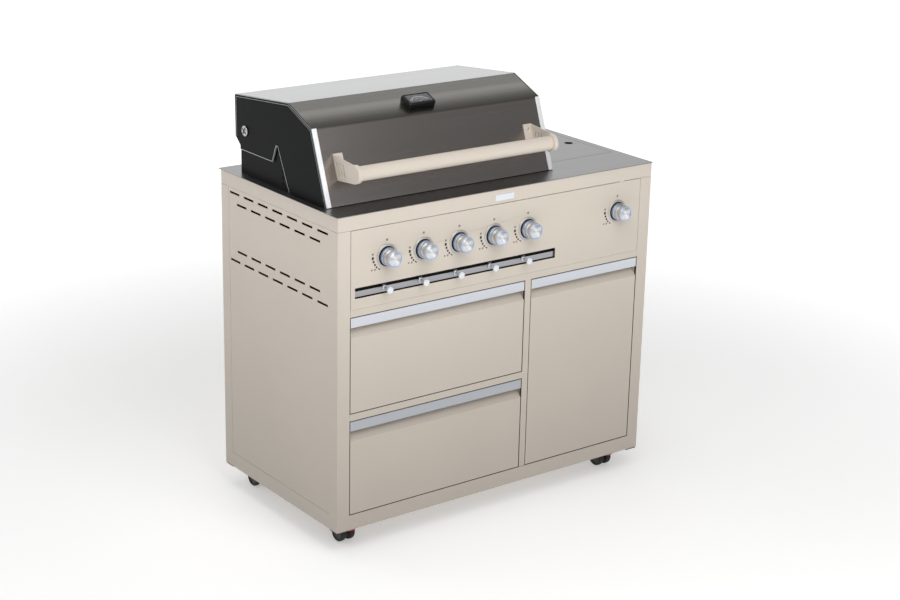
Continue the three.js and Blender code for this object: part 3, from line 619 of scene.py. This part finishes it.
def knobAndFlange(name):
    k = knobShape
    low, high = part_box(name)
    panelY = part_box("control_panel")[0].y
    reach = (panelY - low.y) / mm
    face = k["headRadius"]
    centre = Vector(((low.x + high.x) / 2, panelY, (low.z + high.z) / 2))
    outer, groove, lip = k["flangeRadius"], k["grooveRadius"], k["flangeHeight"]
    flange = [
        (groove, 0.2), (outer, 0.2), (outer, 0.9), (outer - 0.8, 1.8), (outer - 2.2, lip - 0.5),
        (groove + 1.4, lip), (groove + 0.5, lip - 0.3), (groove, lip - 1.2), (groove, 0.2),
    ]
    turnedPiece(f"flange_{name}", flange, centre, "-Y", "flange", "cart")
    bore, inside = k["boreRadius"], groove - 0.2
    floor = [(bore, 0.3), (inside, 0.3), (inside, 1.4), (bore, 1.4), (bore, 0.3)]
    # painted shadow: the groove's floor is near-black
    turnedPiece(f"groove_{name}", floor, centre, "-Y", "shadeBlack", "cart", 64)
    skirt, waist = k["skirtRadius"], k["waistRadius"]
    drum, step = k["drumRadius"], k["drumLength"]
    start, front, head, rim = k["skirtBack"], k["skirtFront"], k["headBack"], k["rimWidth"]
    behind = front - k["ringLength"]
    body = [
        (bore, start), (skirt - 0.8, start), (skirt - 0.3, start + 0.5), (skirt - 0.3, behind - 0.1),
        (skirt - 2.4, behind - 0.1), (skirt - 2.4, front - 0.6), (drum + 0.2, front + 0.3),
        (drum, front + 0.8), (drum, front + step), (drum - 0.8, front + step + 0.8),
        (waist + 0.6, front + step + 1.0), (waist, front + step + 1.6), (waist, head - 1.8),
        (waist + 0.8, head - 0.6), (face - 1.4, head), (face - 0.2, head + 0.9), (face, head + 2.0),
        (face, reach - 1.3), (face - 0.4, reach - 0.5), (face - 1.0, reach - 0.3), (face - rim, reach - 0.3),
        (face - rim, reach - 2), (bore, reach - 2), (bore, start),
    ]
    knob = turnedPiece(f"turning_{name}", body, centre, "-Y", "satin", name)
    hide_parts(name)
    ring = [
        (skirt - 2.3, behind), (skirt - 0.4, behind), (skirt, behind + 0.6), (skirt, front - 1.2),
        (skirt - 0.5, front - 0.2), (skirt - 1.4, front + 0.2), (skirt - 2.3, front), (skirt - 2.3, behind),
    ]
    # painted reflection: the blue skirt ring and face rim
    turnedPiece(f"skirtRing_{name}", ring, centre, "-Y", "blueRim", name)
    edge = [
        (face - rim + 0.1, reach - 1.8), (face - 0.5, reach - 1.8), (face - 0.5, reach - 0.45),
        (face - 1.0, reach), (face - rim + 0.4, reach), (face - rim + 0.1, reach - 0.3),
        (face - rim + 0.1, reach - 1.8),
    ]
    turnedPiece(f"faceRim_{name}", edge, centre, "-Y", "blueRim", name)
    plate = [
        (0, reach - 1.9), (face - rim - 0.1, reach - 1.9), (face - rim - 0.1, reach - 0.7),
        (face - rim - 0.5, reach - 0.4), (0, reach - 0.4),
    ]
    finishes[f"spun_{name}"] = spunFace(f"spunFace_{name}", centre)
    turnedPiece(f"face_{name}", plate, centre, "-Y", f"spun_{name}", name)
    return centre


# Printed marks round a knob, as thin inked patches. A dash has an angle, a radius, a length and
# a width; a dot has its place from the knob's centre and its size
markShape = {
    "arc": [
        (180.5, 43.0, 7.6, 6.2), (193.9, 41.6, 5.8, 5.6), (206.8, 40.6, 5.4, 5.2),
        (218.9, 40.0, 5.0, 4.6), (232.7, 38.9, 7.0, 2.8),
    ],
    "dotRadius": 3.4 * mm,
    "dots": [(0, 42.5, 1.0), (-43, 10.2, 0.9), (-45.6, -31.0, 0.78), (-36.1, -30.9, 0.84)],
    "dotSides": 20,
    "proud": 0.12 * mm,
    "sunk": 0.02 * mm,
}


def knobMarks(name, centre):
    m = markShape
    near = centre.y - m["proud"]
    far = centre.y - m["sunk"]
    patches = []
    for degrees, reach, length, width in m["arc"]:
        turn = math.radians(degrees)
        half = length / 2 / reach
        outline = []
        for side in (1, -1):
            radius = (reach - side * width / 2) * mm
            for step in (-1, 0, 1):
                at = turn + side * step * half
                outline.append((centre.x + radius * math.cos(at), centre.z + radius * math.sin(at)))
        patches.append(slabMesh(outline, "Y", near, far))
    newPiece(f"scale_{name}", mergedMesh(patches), "black", "cart", 0)
    dots = []
    for right, up, size in m["dots"]:
        middle = Vector((centre.x + right * mm, centre.z + up * mm))
        radius = m["dotRadius"] * size
        turns = [2 * math.pi * i / m["dotSides"] for i in range(m["dotSides"])]
        outline = [(middle.x + radius * math.cos(turn), middle.y + radius * math.sin(turn)) for turn in turns]
        dots.append(slabMesh(outline, "Y", near, far))
    newPiece(f"dots_{name}", mergedMesh(dots), "grey", "cart", 0)


for name in knobNames:
    knobMarks(name, knobAndFlange(name))
print("knobs made:", len(knobNames))


# Tool hooks, and a near-black plate behind their slot as painted shade for the dark inside of the cart
hookShape = {
    "stemRadius": 4.4,
    "headThickness": 5.0,
    "collarRadius": 6.0,
    "clipWidth": 11.0,
    "railSink": 5.0,
    "stopWidth": 7.5,
    "shadowPlateDepth": 14.0,
    "shadowPlateReach": 16.0,
}


def toolHook(i):
    name = f"tool_hook_{i}"
    k = hookShape
    low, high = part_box(name)
    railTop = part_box("hook_rail")[1].z
    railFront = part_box("control_panel")[0].y + k["railSink"] * mm
    radius = (high.x - low.x) / 2 / mm
    x = (low.x + high.x) / 2
    z = low.z + radius * mm
    stem = (railFront - 0.4 * mm - low.y) / mm
    thin, thick, collar = k["stemRadius"], k["headThickness"], k["collarRadius"]
    profile = [
        (0, 0), (radius - 1.4, 0), (radius - 0.4, 0.3), (radius, 1.1), (radius, thick - 0.8),
        (radius - 0.6, thick), (thin + 0.8, thick + 0.2), (thin, thick + 1.0), (thin, stem - 3.4),
        (collar, stem - 2.4), (collar, stem), (0, stem),
    ]
    hook = turnedPiece(f"peg_{name}", profile, (x, low.y, z), "Y", "peg", name, 48)
    near, far = railFront - 1.8 * mm, high.y
    outline = [
        (near, z - 4 * mm), (railFront - 0.3 * mm, z - 4 * mm), (railFront - 0.3 * mm, railTop + 0.3 * mm),
        (far - 1.5 * mm, railTop + 0.3 * mm), (far - 1.5 * mm, z - 2 * mm), (far, z - 2 * mm),
        (far, high.z - 0.4 * mm), (far - 0.4 * mm, high.z),
        (near + 0.4 * mm, high.z), (near, high.z - 0.4 * mm),
    ]
    half = k["clipWidth"] * mm / 2
    clip = newPiece(f"clip_{name}", slabMesh(outline, "X", x - half, x + half), "clip", name)
    rounded(clip, 0.3 * mm)
    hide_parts(name)


def slotShadowPlate():
    railLow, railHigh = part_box("hook_rail")
    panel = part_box("control_panel")[0].y
    near, far = panel + 2.4 * mm, panel + hookShape["shadowPlateDepth"] * mm
    top, bottom = railHigh.z + hookShape["shadowPlateReach"] * mm, railLow.z - 7 * mm
    sheet = 1 * mm
    outline = [
        (near, top), (far, top), (far, bottom), (near, bottom), (near, bottom + sheet),
        (far - sheet, bottom + sheet), (far - sheet, top - sheet), (near, top - sheet),
    ]
    shadowPlate = slabMesh(outline, "X", railLow.x - 4 * mm, railHigh.x + 4 * mm)
    # painted shade: a black plate standing for the dark inside behind the slot
    newPiece("slotShadowPlate", shadowPlate, "shadeBlack", "cart", 0)
    stop = blockMesh(
        (railHigh.x - hookShape["stopWidth"] * mm, railLow.y - 0.6 * mm, railLow.z - 0.4 * mm),
        (railHigh.x + 0.6 * mm, railLow.y + 1 * mm, railHigh.z + 0.4 * mm),
    )
    newPiece("slotStop", stop, "shadeBlack", "cart", 0)


for i in burners:
    toolHook(i)
slotShadowPlate()
print("tool hooks made")


# Hood trim: edge strips coloured near-white as painted highlight, folded lips on the end plates with painted
# highlight lines, pin caps
hoodLow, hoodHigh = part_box("hood_shell")
endLow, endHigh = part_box("hood_end_left")
rightLow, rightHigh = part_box("hood_end_right")
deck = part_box("worktop")[1].z
hoodShape = {
    "lift": 1.5 * mm,
    "bend": (70 * mm, 189.8 * mm),
    "crown": (178.3 * mm, 235 * mm),
    "backRise": 209.5 * mm,
    "tail": (-1.4 * mm, 96.5 * mm),
    "stripWidth": 14.0 * mm,
    "stripProud": 0.5 * mm,
    "lipWidth": 6.0 * mm,
    "lipProud": 0.7 * mm,
    "notchBack": 24.4 * mm,
    "notchRise": 66 * mm,
    "notchTop": 111.5 * mm,
    "legFromPin": 159 * mm,
    "tabWidth": 5.5 * mm,
}
h = hoodShape
hoodOutline = [
    Vector((endLow.y, deck + h["lift"])),
    Vector((endLow.y + h["bend"][0], deck + h["bend"][1])),
    Vector((endLow.y + h["crown"][0], deck + h["crown"][1])),
    Vector((endHigh.y, deck + h["backRise"])),
    Vector((endHigh.y + h["tail"][0], deck + h["tail"][1])),
]


# A band along a run of (y, z) points, from one offset to another; positive offsets go inwards
def bandOutline(points, near, far):
    def moved(distance):
        result = []
        for i, point in enumerate(points):
            before = (point - points[i - 1]).normalized() if i else None
            after = (points[i + 1] - point).normalized() if i + 1 < len(points) else None
            sides = [Vector((d.y, -d.x)) for d in (before, after) if d]
            total = sum(sides, Vector((0, 0)))
            scale = distance / (1 if len(sides) == 1 else 1 + sides[0].dot(sides[1]))
            result.append(point + total * scale)
        return result
    return [tuple(p) for p in moved(near)] + [tuple(p) for p in reversed(moved(far))]


# painted highlight: near-white strips on the front edges of the hood ends
def hoodStrips():
    frontEdge = hoodOutline[:2]
    outline = bandOutline(frontEdge, -h["stripProud"], -0.02 * mm)
    ends = [(endLow.x, endLow.x + h["stripWidth"]), (rightHigh.x - h["stripWidth"], rightHigh.x)]
    for word, (x0, x1) in zip(("left", "right"), ends):
        strip = newPiece(f"edgeStrip_{word}", slabMesh(outline, "X", x0, x1), "edge", "hood")
        rounded(strip, 0.2 * mm)


def hoodLips():
    width = h["lipWidth"]
    band = bandOutline(hoodOutline, 0.3 * mm, width)
    edges = [(0.25 * mm, 1.2 * mm), (width - 0.2 * mm, width + 0.7 * mm)]
    left = ("left", endLow.x - h["lipProud"], endLow.x - 0.02 * mm)
    right = ("right", rightHigh.x + 0.02 * mm, rightHigh.x + h["lipProud"])
    for word, x0, x1 in (left, right):
        lip = newPiece(f"foldedLip_{word}", slabMesh(band, "X", x0, x1), "enamel", "hood")
        rounded(lip, 0.3 * mm, 3)
        near, far = (x0 - 0.1 * mm, x0 + 0.4 * mm) if word == "left" else (x1 - 0.4 * mm, x1 + 0.1 * mm)
        # painted highlight: light lines along the lip's outer and inner edges
        highlightLines = mergedMesh([slabMesh(bandOutline(hoodOutline, *pair), "X", near, far) for pair in edges])
        newPiece(f"lipEdge_{word}", highlightLines, "paintedEdgeHighlight", "hood", 0)


def pinCaps():
    for word, axis in (("left", "-X"), ("right", "X")):
        low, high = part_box(f"hinge_pin_{word}")
        radius = (high.z - low.z) / 2
        face = low.x if word == "left" else high.x
        centre = (face, (low.y + high.y) / 2, (low.z + high.z) / 2)
        r = radius / mm
        dome = [(0, 1.2), (r * 0.35, 1.1), (r * 0.7, 0.7), (r * 0.92, 0.2), (r * 0.95, 0.02), (0, 0.02)]
        turnedPiece(f"pinCap_{word}", dome, centre, axis, "pin", "cart", 48, 50)
        reach = radius * 0.72
        # painted shade: the cross recess in each cap is a black patch
        cross = []
        for turn in (35, 125):
            direction = Vector((math.cos(math.radians(turn)), math.sin(math.radians(turn))))
            side = Vector((-direction.y, direction.x)) * 1.9 * mm
            middle = Vector((centre[1], centre[2]))
            arm = direction * reach
            corners = [middle + arm + side, middle - arm + side, middle - arm - side, middle + arm - side]
            outward = -1 if word == "left" else 1
            near, far = sorted((face + outward * 0.3 * mm, face + outward * 1.5 * mm))
            cross.append(slabMesh([tuple(c) for c in corners], "X", near, far))
        newPiece(f"pinRecess_{word}", mergedMesh(cross), "black", "cart", 0)


# The notch in each end plate: a bright folded edge as painted highlight, and a short tab beside it
def notchEdges():
    pinLow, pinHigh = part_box("hinge_pin_left")
    leg = (pinLow.y + pinHigh.y) / 2 - h["legFromPin"]
    rise, top = deck + h["notchRise"], deck + h["notchTop"]
    edge = [
        Vector((endHigh.y - h["notchBack"], rise)), Vector((leg + 28 * mm, rise)),
        Vector((leg + 8.5 * mm, top)), Vector((leg, top)), Vector((leg - 54 * mm, deck + h["lift"])),
    ]
    left = ("left", endLow.x - 0.25 * mm, endLow.x + 1.2 * mm)
    right = ("right", rightHigh.x - 1.2 * mm, rightHigh.x + 0.25 * mm)
    for word, x0, x1 in (left, right):
        line = slabMesh(bandOutline(edge, -0.35 * mm, 1.0 * mm), "X", x0, x1)
        newPiece(f"notchEdge_{word}", line, "paintedEdgeHighlight", "hood", 0)
        outline = bandOutline(edge[1:3], -h["tabWidth"], -0.4 * mm)
        tab = slabMesh(outline, "X", x0 + 0.3 * mm, x1 - 0.3 * mm)
        newPiece(f"notchTab_{word}", tab, "tab", "hood", 0)


hoodStrips()
hoodLips()
notchEdges()
pinCaps()


# Handle: a smooth tube in place of the faceted one, screws on the flanges
handleShape = {
    "wall": 1.5 * mm,
    "screwRise": 112 * mm,
    "screwInset": 13 * mm,
    "flangeSheet": 3.1 * mm,
    "screw": [(0, 1.4), (2.2, 1.3), (3.6, 0.8), (4.2, 0.1), (0, 0.1)],
}


def handle():
    low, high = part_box("handle_tube")
    radius = (high.z - low.z) / 2
    centre = (low.x, (low.y + high.y) / 2, (low.z + high.z) / 2)
    length = high.x - low.x
    inner = radius - handleShape["wall"]
    profile = [(inner, 0), (radius, 0), (radius, length), (inner, length), (inner, 0)]
    tube = newPiece("handleTube", turnedMesh(profile, centre, "X", 80), "powder", "hood", 40)
    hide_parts("handle_tube")
    foot, bend = hoodOutline[0], hoodOutline[1]
    run = (bend - foot).normalized()
    outward = Vector((-run.y, run.x))
    at = foot + run * (handleShape["screwRise"] / run.y)
    tilt = Matrix.Rotation(math.atan2(-outward.x, outward.y), 4, "X")
    base = at + outward * handleShape["flangeSheet"]
    inset = handleShape["screwInset"]
    for word in ("left", "right"):
        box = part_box(f"handle_bracket_{word}")
        x = box[1].x - inset if word == "left" else box[0].x + inset
        name = f"flangeScrew_{word}"
        screw = turnedPiece(name, handleShape["screw"], (0, 0, 0), "Z", "satin", "hood", 32, 50)
        screw.data.transform(Matrix.Translation((x, base.x, base.y)) @ tilt)


handle()


# Thermometer: a bevelled case with a recessed dial behind glass, tilted onto the hood's slope
gauge = {
    "bezel": 6.5 * mm,
    "frame": 1.1 * mm,
    "corner": 3.5 * mm,
    "dialSink": 2.2 * mm,
    "needleTurn": 62,
    "length": 44.5 * mm,
    "height": 15 * mm,
    "fromCrown": 70.7 * mm,
    "chamfer": 2 * mm,
    "cardGap": 0.2 * mm,
    "frameGap": 0.3 * mm,
    "ticks": 12,
    "boss": [(0, 0), (2.0 * mm, 0), (2.0 * mm, 1.0 * mm), (1.4 * mm, 1.3 * mm), (0, 1.3 * mm)],
}


def thermometer():
    low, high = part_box("thermometer")
    bend, crown = hoodOutline[1], hoodOutline[2]
    slope = math.atan2(crown.y - bend.y, crown.x - bend.x)
    width = high.x - low.x
    back = crown - (crown - bend).normalized() * gauge["fromCrown"]
    stand = Matrix.Translation(((low.x + high.x) / 2, back.x, back.y)) @ Matrix.Rotation(slope, 4, "X")

    def placed(name, mesh, finish, edge=0.0):
        mesh.transform(stand)
        piece = newPiece(name, mesh, finish, "hood")
        if edge:
            rounded(piece, edge, 3)
        return piece

    half = Vector((width / 2, gauge["length"] / 2))
    rim = gauge["bezel"]
    top = gauge["height"]
    dial = top - gauge["dialSink"]

    # The case's outline, brought in by a distance
    def inset(distance, corner):
        reach = half - Vector((distance, distance))
        return roundedOutline((-reach.x, -reach.y), (reach.x, reach.y), corner)

    outer = inset(0, gauge["corner"])
    inner = inset(rim, gauge["corner"] * 0.6)
    chamfer = inset(gauge["chamfer"], gauge["corner"] * 0.8)

    def build(form):
        levels = [
            (outer, 0.4 * mm), (outer, top - 2.4 * mm), (chamfer, top),
            (inner, top), (inner, dial - 0.6 * mm),
        ]
        rings = [[form.verts.new((a, b, z)) for a, b in points] for points, z in levels]
        for lower, upper in zip(rings, rings[1:]):
            for i in range(len(lower)):
                j = (i + 1) % len(lower)
                form.faces.new([lower[i], lower[j], upper[j], upper[i]])
        form.faces.new(rings[0])
        form.faces.new(rings[-1])

    case = placed("thermometerCase", meshOf(build), "case", 0.4 * mm)
    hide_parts("thermometer")
    card = inset(rim + gauge["cardGap"], 2 * mm)
    placed("thermometerCard", slabMesh(card, "Z", dial - 0.5 * mm, dial), "dial")
    start, end, lip = rim + gauge["frameGap"], rim + gauge["frame"], dial + 0.9 * mm

    def buildFrame(form):
        rings = []
        for distance, z in ((start, dial), (start, lip), (end, lip), (end, dial)):
            rings.append([form.verts.new((a, b, z)) for a, b in inset(distance, 1.6 * mm)])
        for lower, upper in zip(rings, rings[1:] + rings[:1]):
            for i in range(len(lower)):
                j = (i + 1) % len(lower)
                form.faces.new([lower[i], lower[j], upper[j], upper[i]])

    placed("thermometerFrame", meshOf(buildFrame), "satin")
    pivot = Vector((0, -half.y + rim + 4.5 * mm))

    def arcPatch(radius, thick, start, end, steps):
        points = []
        for r, order in ((radius - thick / 2, range(steps + 1)), (radius + thick / 2, range(steps, -1, -1))):
            for step in order:
                turn = math.radians(start + (end - start) * step / steps)
                points.append((pivot.x + r * math.cos(turn) * 1.25, pivot.y + r * math.sin(turn)))
        return slabMesh(points, "Z", dial + 0.02 * mm, dial + 0.15 * mm)

    arcs = [arcPatch(19.5 * mm, 1.1 * mm, 18, 162, 32), arcPatch(13 * mm, 0.6 * mm, 30, 150, 24)]
    for step in range(gauge["ticks"] + 1):
        turn = 20 + 140 * step / gauge["ticks"]
        arcs.append(arcPatch(23 * mm, (4.0 if step % 3 == 0 else 2.2) * mm, turn - 0.9, turn + 0.9, 1))
    placed("thermometerScale", mergedMesh(arcs), "white")
    turn = math.radians(gauge["needleTurn"] + 90)
    tip = Vector((math.cos(turn) * 1.25, math.sin(turn))) * 17 * mm
    side = Vector((-tip.y, tip.x)).normalized() * 0.9 * mm
    needle = [tuple(pivot + side), tuple(pivot + tip), tuple(pivot - side), tuple(pivot - tip * 0.2)]
    placed("thermometerNeedle", slabMesh(needle, "Z", dial + 0.3 * mm, dial + 0.8 * mm), "red")
    boss = turnedMesh(gauge["boss"], (pivot.x, pivot.y, dial), "Z", 24)
    placed("thermometerBoss", boss, "satin")
    placed("thermometerGlass", slabMesh(card, "Z", top - 0.9 * mm, top - 0.4 * mm), "glass")


thermometer()
print("hood dressed")


# Small parts of the cart: a blank badge plate and the caps under the posts
cartTrim = {
    "badgeFromLeft": 491 * mm,
    "badgeRise": 8.3 * mm,
    "badge": (61.5 * mm, 17 * mm),
    "post": 38.5 * mm,
    "baseRail": 42.3 * mm,
}


def badgePlate():
    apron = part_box("top_frame")[0]
    width, height = cartTrim["badge"]
    x, z = apron.x + cartTrim["badgeFromLeft"], apron.z + cartTrim["badgeRise"]
    outline = roundedOutline((x, z), (x + width, z + height), 1.2 * mm, 3)
    plate = slabMesh(outline, "Y", apron.y - 1.0 * mm, apron.y - 0.02 * mm)
    rounded(newPiece("badgePlate", plate, "badge", "cart"), 0.35 * mm)


def postCaps():
    low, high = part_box("cart_frame")
    post = cartTrim["post"]
    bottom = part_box("floor_panel")[0].z - cartTrim["baseRail"]
    for sideWord, x in (("left", low.x), ("right", high.x - post)):
        for endWord, y in (("front", low.y), ("back", high.y - post)):
            inset = 0.6 * mm
            outline = roundedOutline((x + inset, y + inset), (x + post - inset, y + post - inset), 3 * mm, 3)
            cap = slabMesh(outline, "Z", bottom - 3.2 * mm, bottom - 0.1 * mm)
            piece = newPiece(f"postCap_{endWord}_{sideWord}", cap, "plastic", "cart")
            rounded(piece, 0.8 * mm, 3)


# A dark strip round each bay as painted shade for the shadow in the gap, on the edge of the frame and a
# little way into the gap
bay = {
    "sideGap": 1.3 * mm,
    "bottomGap": 0.5 * mm,
    "onSide": 1.1 * mm,
    "onBottom": 1.7 * mm,
    "intoSide": 0.5 * mm,
    "intoBottom": 0.2 * mm,
    "proud": 0.12 * mm,
    "depth": 6 * mm,
}


def bayShadeStrip(word, front, bar):
    low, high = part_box(front)
    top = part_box(bar)[1].z
    y0, y1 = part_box("centre_frame")[0].y - bay["proud"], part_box("centre_frame")[0].y + bay["depth"]
    left, right = low.x - bay["sideGap"], high.x + bay["sideGap"]
    bottom, upper = low.z - bay["bottomGap"], top + bay["sideGap"]
    outer, under = bay["onSide"], bay["onBottom"]
    inner, lift = bay["intoSide"], bay["intoBottom"]
    bars = [
        blockMesh((left - outer, y0, bottom - under), (left + inner, y1, upper + outer)),
        blockMesh((right - inner, y0, bottom - under), (right + outer, y1, upper + outer)),
        blockMesh((left + inner, y0, bottom - under), (right - inner, y1, bottom + lift)),
        blockMesh((left + inner, y0, upper - inner), (right - inner, y1, upper + outer)),
    ]
    newPiece(f"bayShadeStrip_{word}", mergedMesh(bars), "gapShade", "cart", 0)


badgePlate()
postCaps()
bayShadeStrip("upper", "drawer_upper_front", "drawer_upper_bar")
bayShadeStrip("lower", "drawer_lower_front", "drawer_lower_bar")
bayShadeStrip("cupboard", "door", "door_bar")


# Runners: a strip on each side of a drawer box, and a folded channel fixed to the cart. The
# sections are in millimetres, outward from the box and upward from the strip's foot
runner = {
    "rise": 62 * mm,
    "strip": [(0.3, 0), (5, 2), (5, 30), (0.3, 32)],
    "channel": [
        (11.5, -4), (11.5, 36), (5.8, 36), (5.8, 33.5), (10.3, 33.5), (10.3, -1.5), (5.8, -1.5), (5.8, -4),
    ],
    "stripInset": 4 * mm,
    "channelInset": 22 * mm,
}


def drawerRunners():
    for word in ("upper", "lower"):
        low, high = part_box(f"drawer_{word}_box")
        z = low.z + runner["rise"]
        for side, sign, face in (("left", -1, low.x), ("right", 1, high.x)):

            def section(points):
                return [(face + sign * out * mm, z + up * mm) for out, up in points]

            inset = runner["stripInset"]
            mesh = slabMesh(section(runner["strip"]), "Y", low.y + inset, high.y - inset)
            name = f"runnerInner_{word}_{side}"
            rounded(newPiece(name, mesh, "galvanised", f"drawer_{word}"), 0.5 * mm)
            mesh = slabMesh(section(runner["channel"]), "Y", low.y + runner["channelInset"], high.y)
            rounded(newPiece(f"runnerOuter_{word}_{side}", mesh, "galvanised", "cart"), 0.3 * mm)


drawerRunners()


# Door hinges: a leaf near the top and bottom of the door's right edge
def doorHinges():
    joint = [j for j in frame["joints"] if j["name"] == "door_hinge"][0]
    x = joint["pos_m"][0]
    low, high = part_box("door")
    for word, z in (("low", low.z + 70 * mm), ("high", high.z - 110 * mm)):
        leaf = blockMesh((x - 30 * mm, low.y + 2.2 * mm, z), (x - 3 * mm, low.y + 4.0 * mm, z + 40 * mm))
        piece = newPiece(f"hingeLeaf_{word}", leaf, "galvanised", "cupboard_door")
        rounded(piece, 0.4 * mm)


doorHinges()


# Casters: two moulded wheels with treads, hub caps and a bolt on each pair
caster = {
    "width": 16 * mm,
    "axle": 3.6 * mm,
    "bolt": 8 * mm,
    "bore": 4 * mm,
}


def casterWheels(end):
    body = f"wheels_{end}"
    low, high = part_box(f"caster_wheels_{end}")
    r = (high.z - low.z) / 2
    middle = (low + high) / 2
    width, bolt, bore = caster["width"], caster["bolt"], caster["bore"]
    back = -width + 1 * mm
    tread = [
        (r - 6 * mm, -width), (r - 2 * mm, -width), (r - 0.4 * mm, -width + 2 * mm), (r, -width + 5 * mm),
        (r, -5 * mm), (r - 0.6 * mm, -2 * mm), (r - 2.4 * mm, 0), (r - 6 * mm, -0.2 * mm),
        (r - 6 * mm, -width),
    ]
    hub = [
        (bore, back), (r - 6.2 * mm, back), (r - 6.2 * mm, -1.2 * mm), (r - 8 * mm, -1.2 * mm),
        (r - 9 * mm, -2.6 * mm), (bolt, -2.6 * mm), (bolt - 1 * mm, -0.6 * mm), (bore, -0.6 * mm),
        (bore, back),
    ]
    sides = [(axis, (face, middle.y, middle.z)) for axis, face in (("-X", low.x), ("X", high.x))]
    treads = mergedMesh([turnedMesh(tread, centre, axis, 64) for axis, centre in sides])
    wheel = newPiece(f"treads_{end}", treads, "tread", body, 40)
    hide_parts(f"caster_wheels_{end}")
    hubs = mergedMesh([turnedMesh(hub, centre, axis, 48) for axis, centre in sides])
    newPiece(f"hubs_{end}", hubs, "hub", body, 40)
    thick, length = caster["axle"], high.x - low.x
    axle = [
        (0, 0.2 * mm), (thick - 0.2 * mm, 0.2 * mm), (thick, 0.8 * mm), (thick, length - 0.8 * mm),
        (thick - 0.2 * mm, length - 0.2 * mm), (0, length - 0.2 * mm),
    ]
    mesh = turnedMesh(axle, (low.x, middle.y, middle.z), "X", 32)
    newPiece(f"axle_{end}", mesh, "satin", body, 50)


for end in casterEnds:
    casterWheels(end)
print("casters made")


# Burner ports: a row of small slots along the top of each tube, as black patches that are painted shade for
# the holes
port = {
    "burners": 5,
    "tube": 12.5 * mm,
    "turn": 24,
    "rows": 34,
    "start": 60 * mm,
    "pitch": 9 * mm,
    "half": (1.8 * mm, 0.9 * mm),
    "sink": 0.6 * mm,
    "proud": 0.1 * mm,
}


def burnerPorts():
    low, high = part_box("burner_bank")
    tube = port["tube"]
    step = (high.x - low.x - 2 * tube) / (port["burners"] - 1)
    reach = tube + 0.05 * mm
    a, b = port["half"]
    slots = []
    for i in range(port["burners"]):
        for row in range(port["rows"]):
            y = low.y + port["start"] + row * port["pitch"]
            for side in (-1, 1):
                turn = math.radians(90 + side * port["turn"])
                x = low.x + tube + i * step + reach * math.cos(turn)
                z = high.z - tube + reach * math.sin(turn)
                slots.append(blockMesh((x - a, y - b, z - port["sink"]), (x + a, y + b, z + port["proud"])))
    newPiece("burnerPorts", mergedMesh(slots), "black", "cart", 0)


burnerPorts()

# Studio: a pale floor, soft lights, and a surround that is brightest low down behind the grill
studio = {
    "floor": (0.78, 0.78, 0.78),
    "nearGlow": 0.36,
    "farGlow": 0.82,
    "glowReach": (1.0, 3.3),
    "skyFront": 0.20,
    "skyRise": 1.02,
    "skyOverhead": 0.06,
    "lights": {
        "overheadFront": ((-0.4, -1.55, 2.25), (0.1, -0.2, 0.8), 1.6, 22),
        "frontKey": ((-0.1, -2.9, 1.65), (0.0, -0.3, 0.75), 1.3, 13),
        "leftFill": ((-2.6, -0.6, 2.7), (-0.4, 0.0, 0.8), 1.6, 13),
        "above": ((-0.5, 0.9, 4.0), (0.0, 0.1, 0.8), 2.2, 20),
    },
}


def buildStudio():
    outline = [(-60, -60), (60, -60), (60, 60), (-60, 60)]
    floor = bpy.data.objects.new("studioFloor", slabMesh(outline, "Z", -0.02, 0.0))
    bpy.context.scene.collection.objects.link(floor)
    finish = Finish("paleFloor", studio["floor"], 0.9, Specular_IOR_Level=0.0)
    clouds = finish.noise(0.5, 2)
    finish.set("Base Color", finish.mixed(clouds, darker(studio["floor"], 0.985), studio["floor"]))
    across, away = finish.along("X"), finish.along("Y")
    distance = (across * across + away * away) ** 0.5
    start, end = studio["glowReach"]
    far = finish.eased(distance, start, end, "SMOOTHSTEP")
    near, farther = studio["nearGlow"], studio["farGlow"]
    finish.set("Emission Color", finish.mixed(far, (near, near, near), (farther, farther, farther)))
    finish.set("Emission Strength", 1.0)
    floor.data.materials.append(finish.material)
    world = bpy.data.worlds.new("studioWorld")
    bpy.context.scene.world = world
    world.use_nodes = True
    tree = world.node_tree
    coords = tree.nodes.new("ShaderNodeTexCoord")
    split = tree.nodes.new("ShaderNodeSeparateXYZ")
    tree.links.new(coords.outputs["Generated"], split.inputs[0])
    back = Wire(tree, split.outputs["Y"])
    up = Wire(tree, split.outputs["Z"])

    def eased(value, start, end):
        node = tree.nodes.new("ShaderNodeMapRange")
        node.interpolation_type = "SMOOTHSTEP"
        tree.links.new(value.socket, node.inputs["Value"])
        node.inputs["From Min"].default_value = start
        node.inputs["From Max"].default_value = end
        return Wire(tree, node.outputs["Result"])

    wall = eased(back, 0.30, 0.80) * (1 - eased(up, 0.45, 0.85))
    overhead = eased(up, 0.55, 0.95)
    strength = wall * studio["skyRise"] + overhead * studio["skyOverhead"] + studio["skyFront"]
    tree.links.new(strength.socket, tree.nodes["Background"].inputs["Strength"])
    tree.nodes["Background"].inputs["Color"].default_value = (1, 1, 1, 1)
    for name, (place, aim, size, power) in studio["lights"].items():
        light = bpy.data.lights.new(name, "AREA")
        light.shape = "SQUARE"
        light.size = size
        light.energy = power
        lamp = bpy.data.objects.new(name, light)
        bpy.context.scene.collection.objects.link(lamp)
        lamp.location = place
        lamp.rotation_euler = (Vector(aim) - Vector(place)).to_track_quat("-Z", "Y").to_euler()


buildStudio()

camera = {
    "place": (-2.96807, -3.97118, 2.19690),
    "turn": (71.446, -1.219, -36.677),
    "lens": 75.28,
}
eye = bpy.data.cameras.new("viewer")
eye.lens = camera["lens"]
eye.sensor_width = 36
eye.clip_end = 200
viewer = bpy.data.objects.new("viewer", eye)
bpy.context.scene.collection.objects.link(viewer)
viewer.location = camera["place"]
viewer.rotation_euler = [math.radians(a) for a in camera["turn"]]
bpy.context.scene.camera = viewer
bpy.context.scene.view_settings.view_transform = "Standard"
print("studio and camera set")
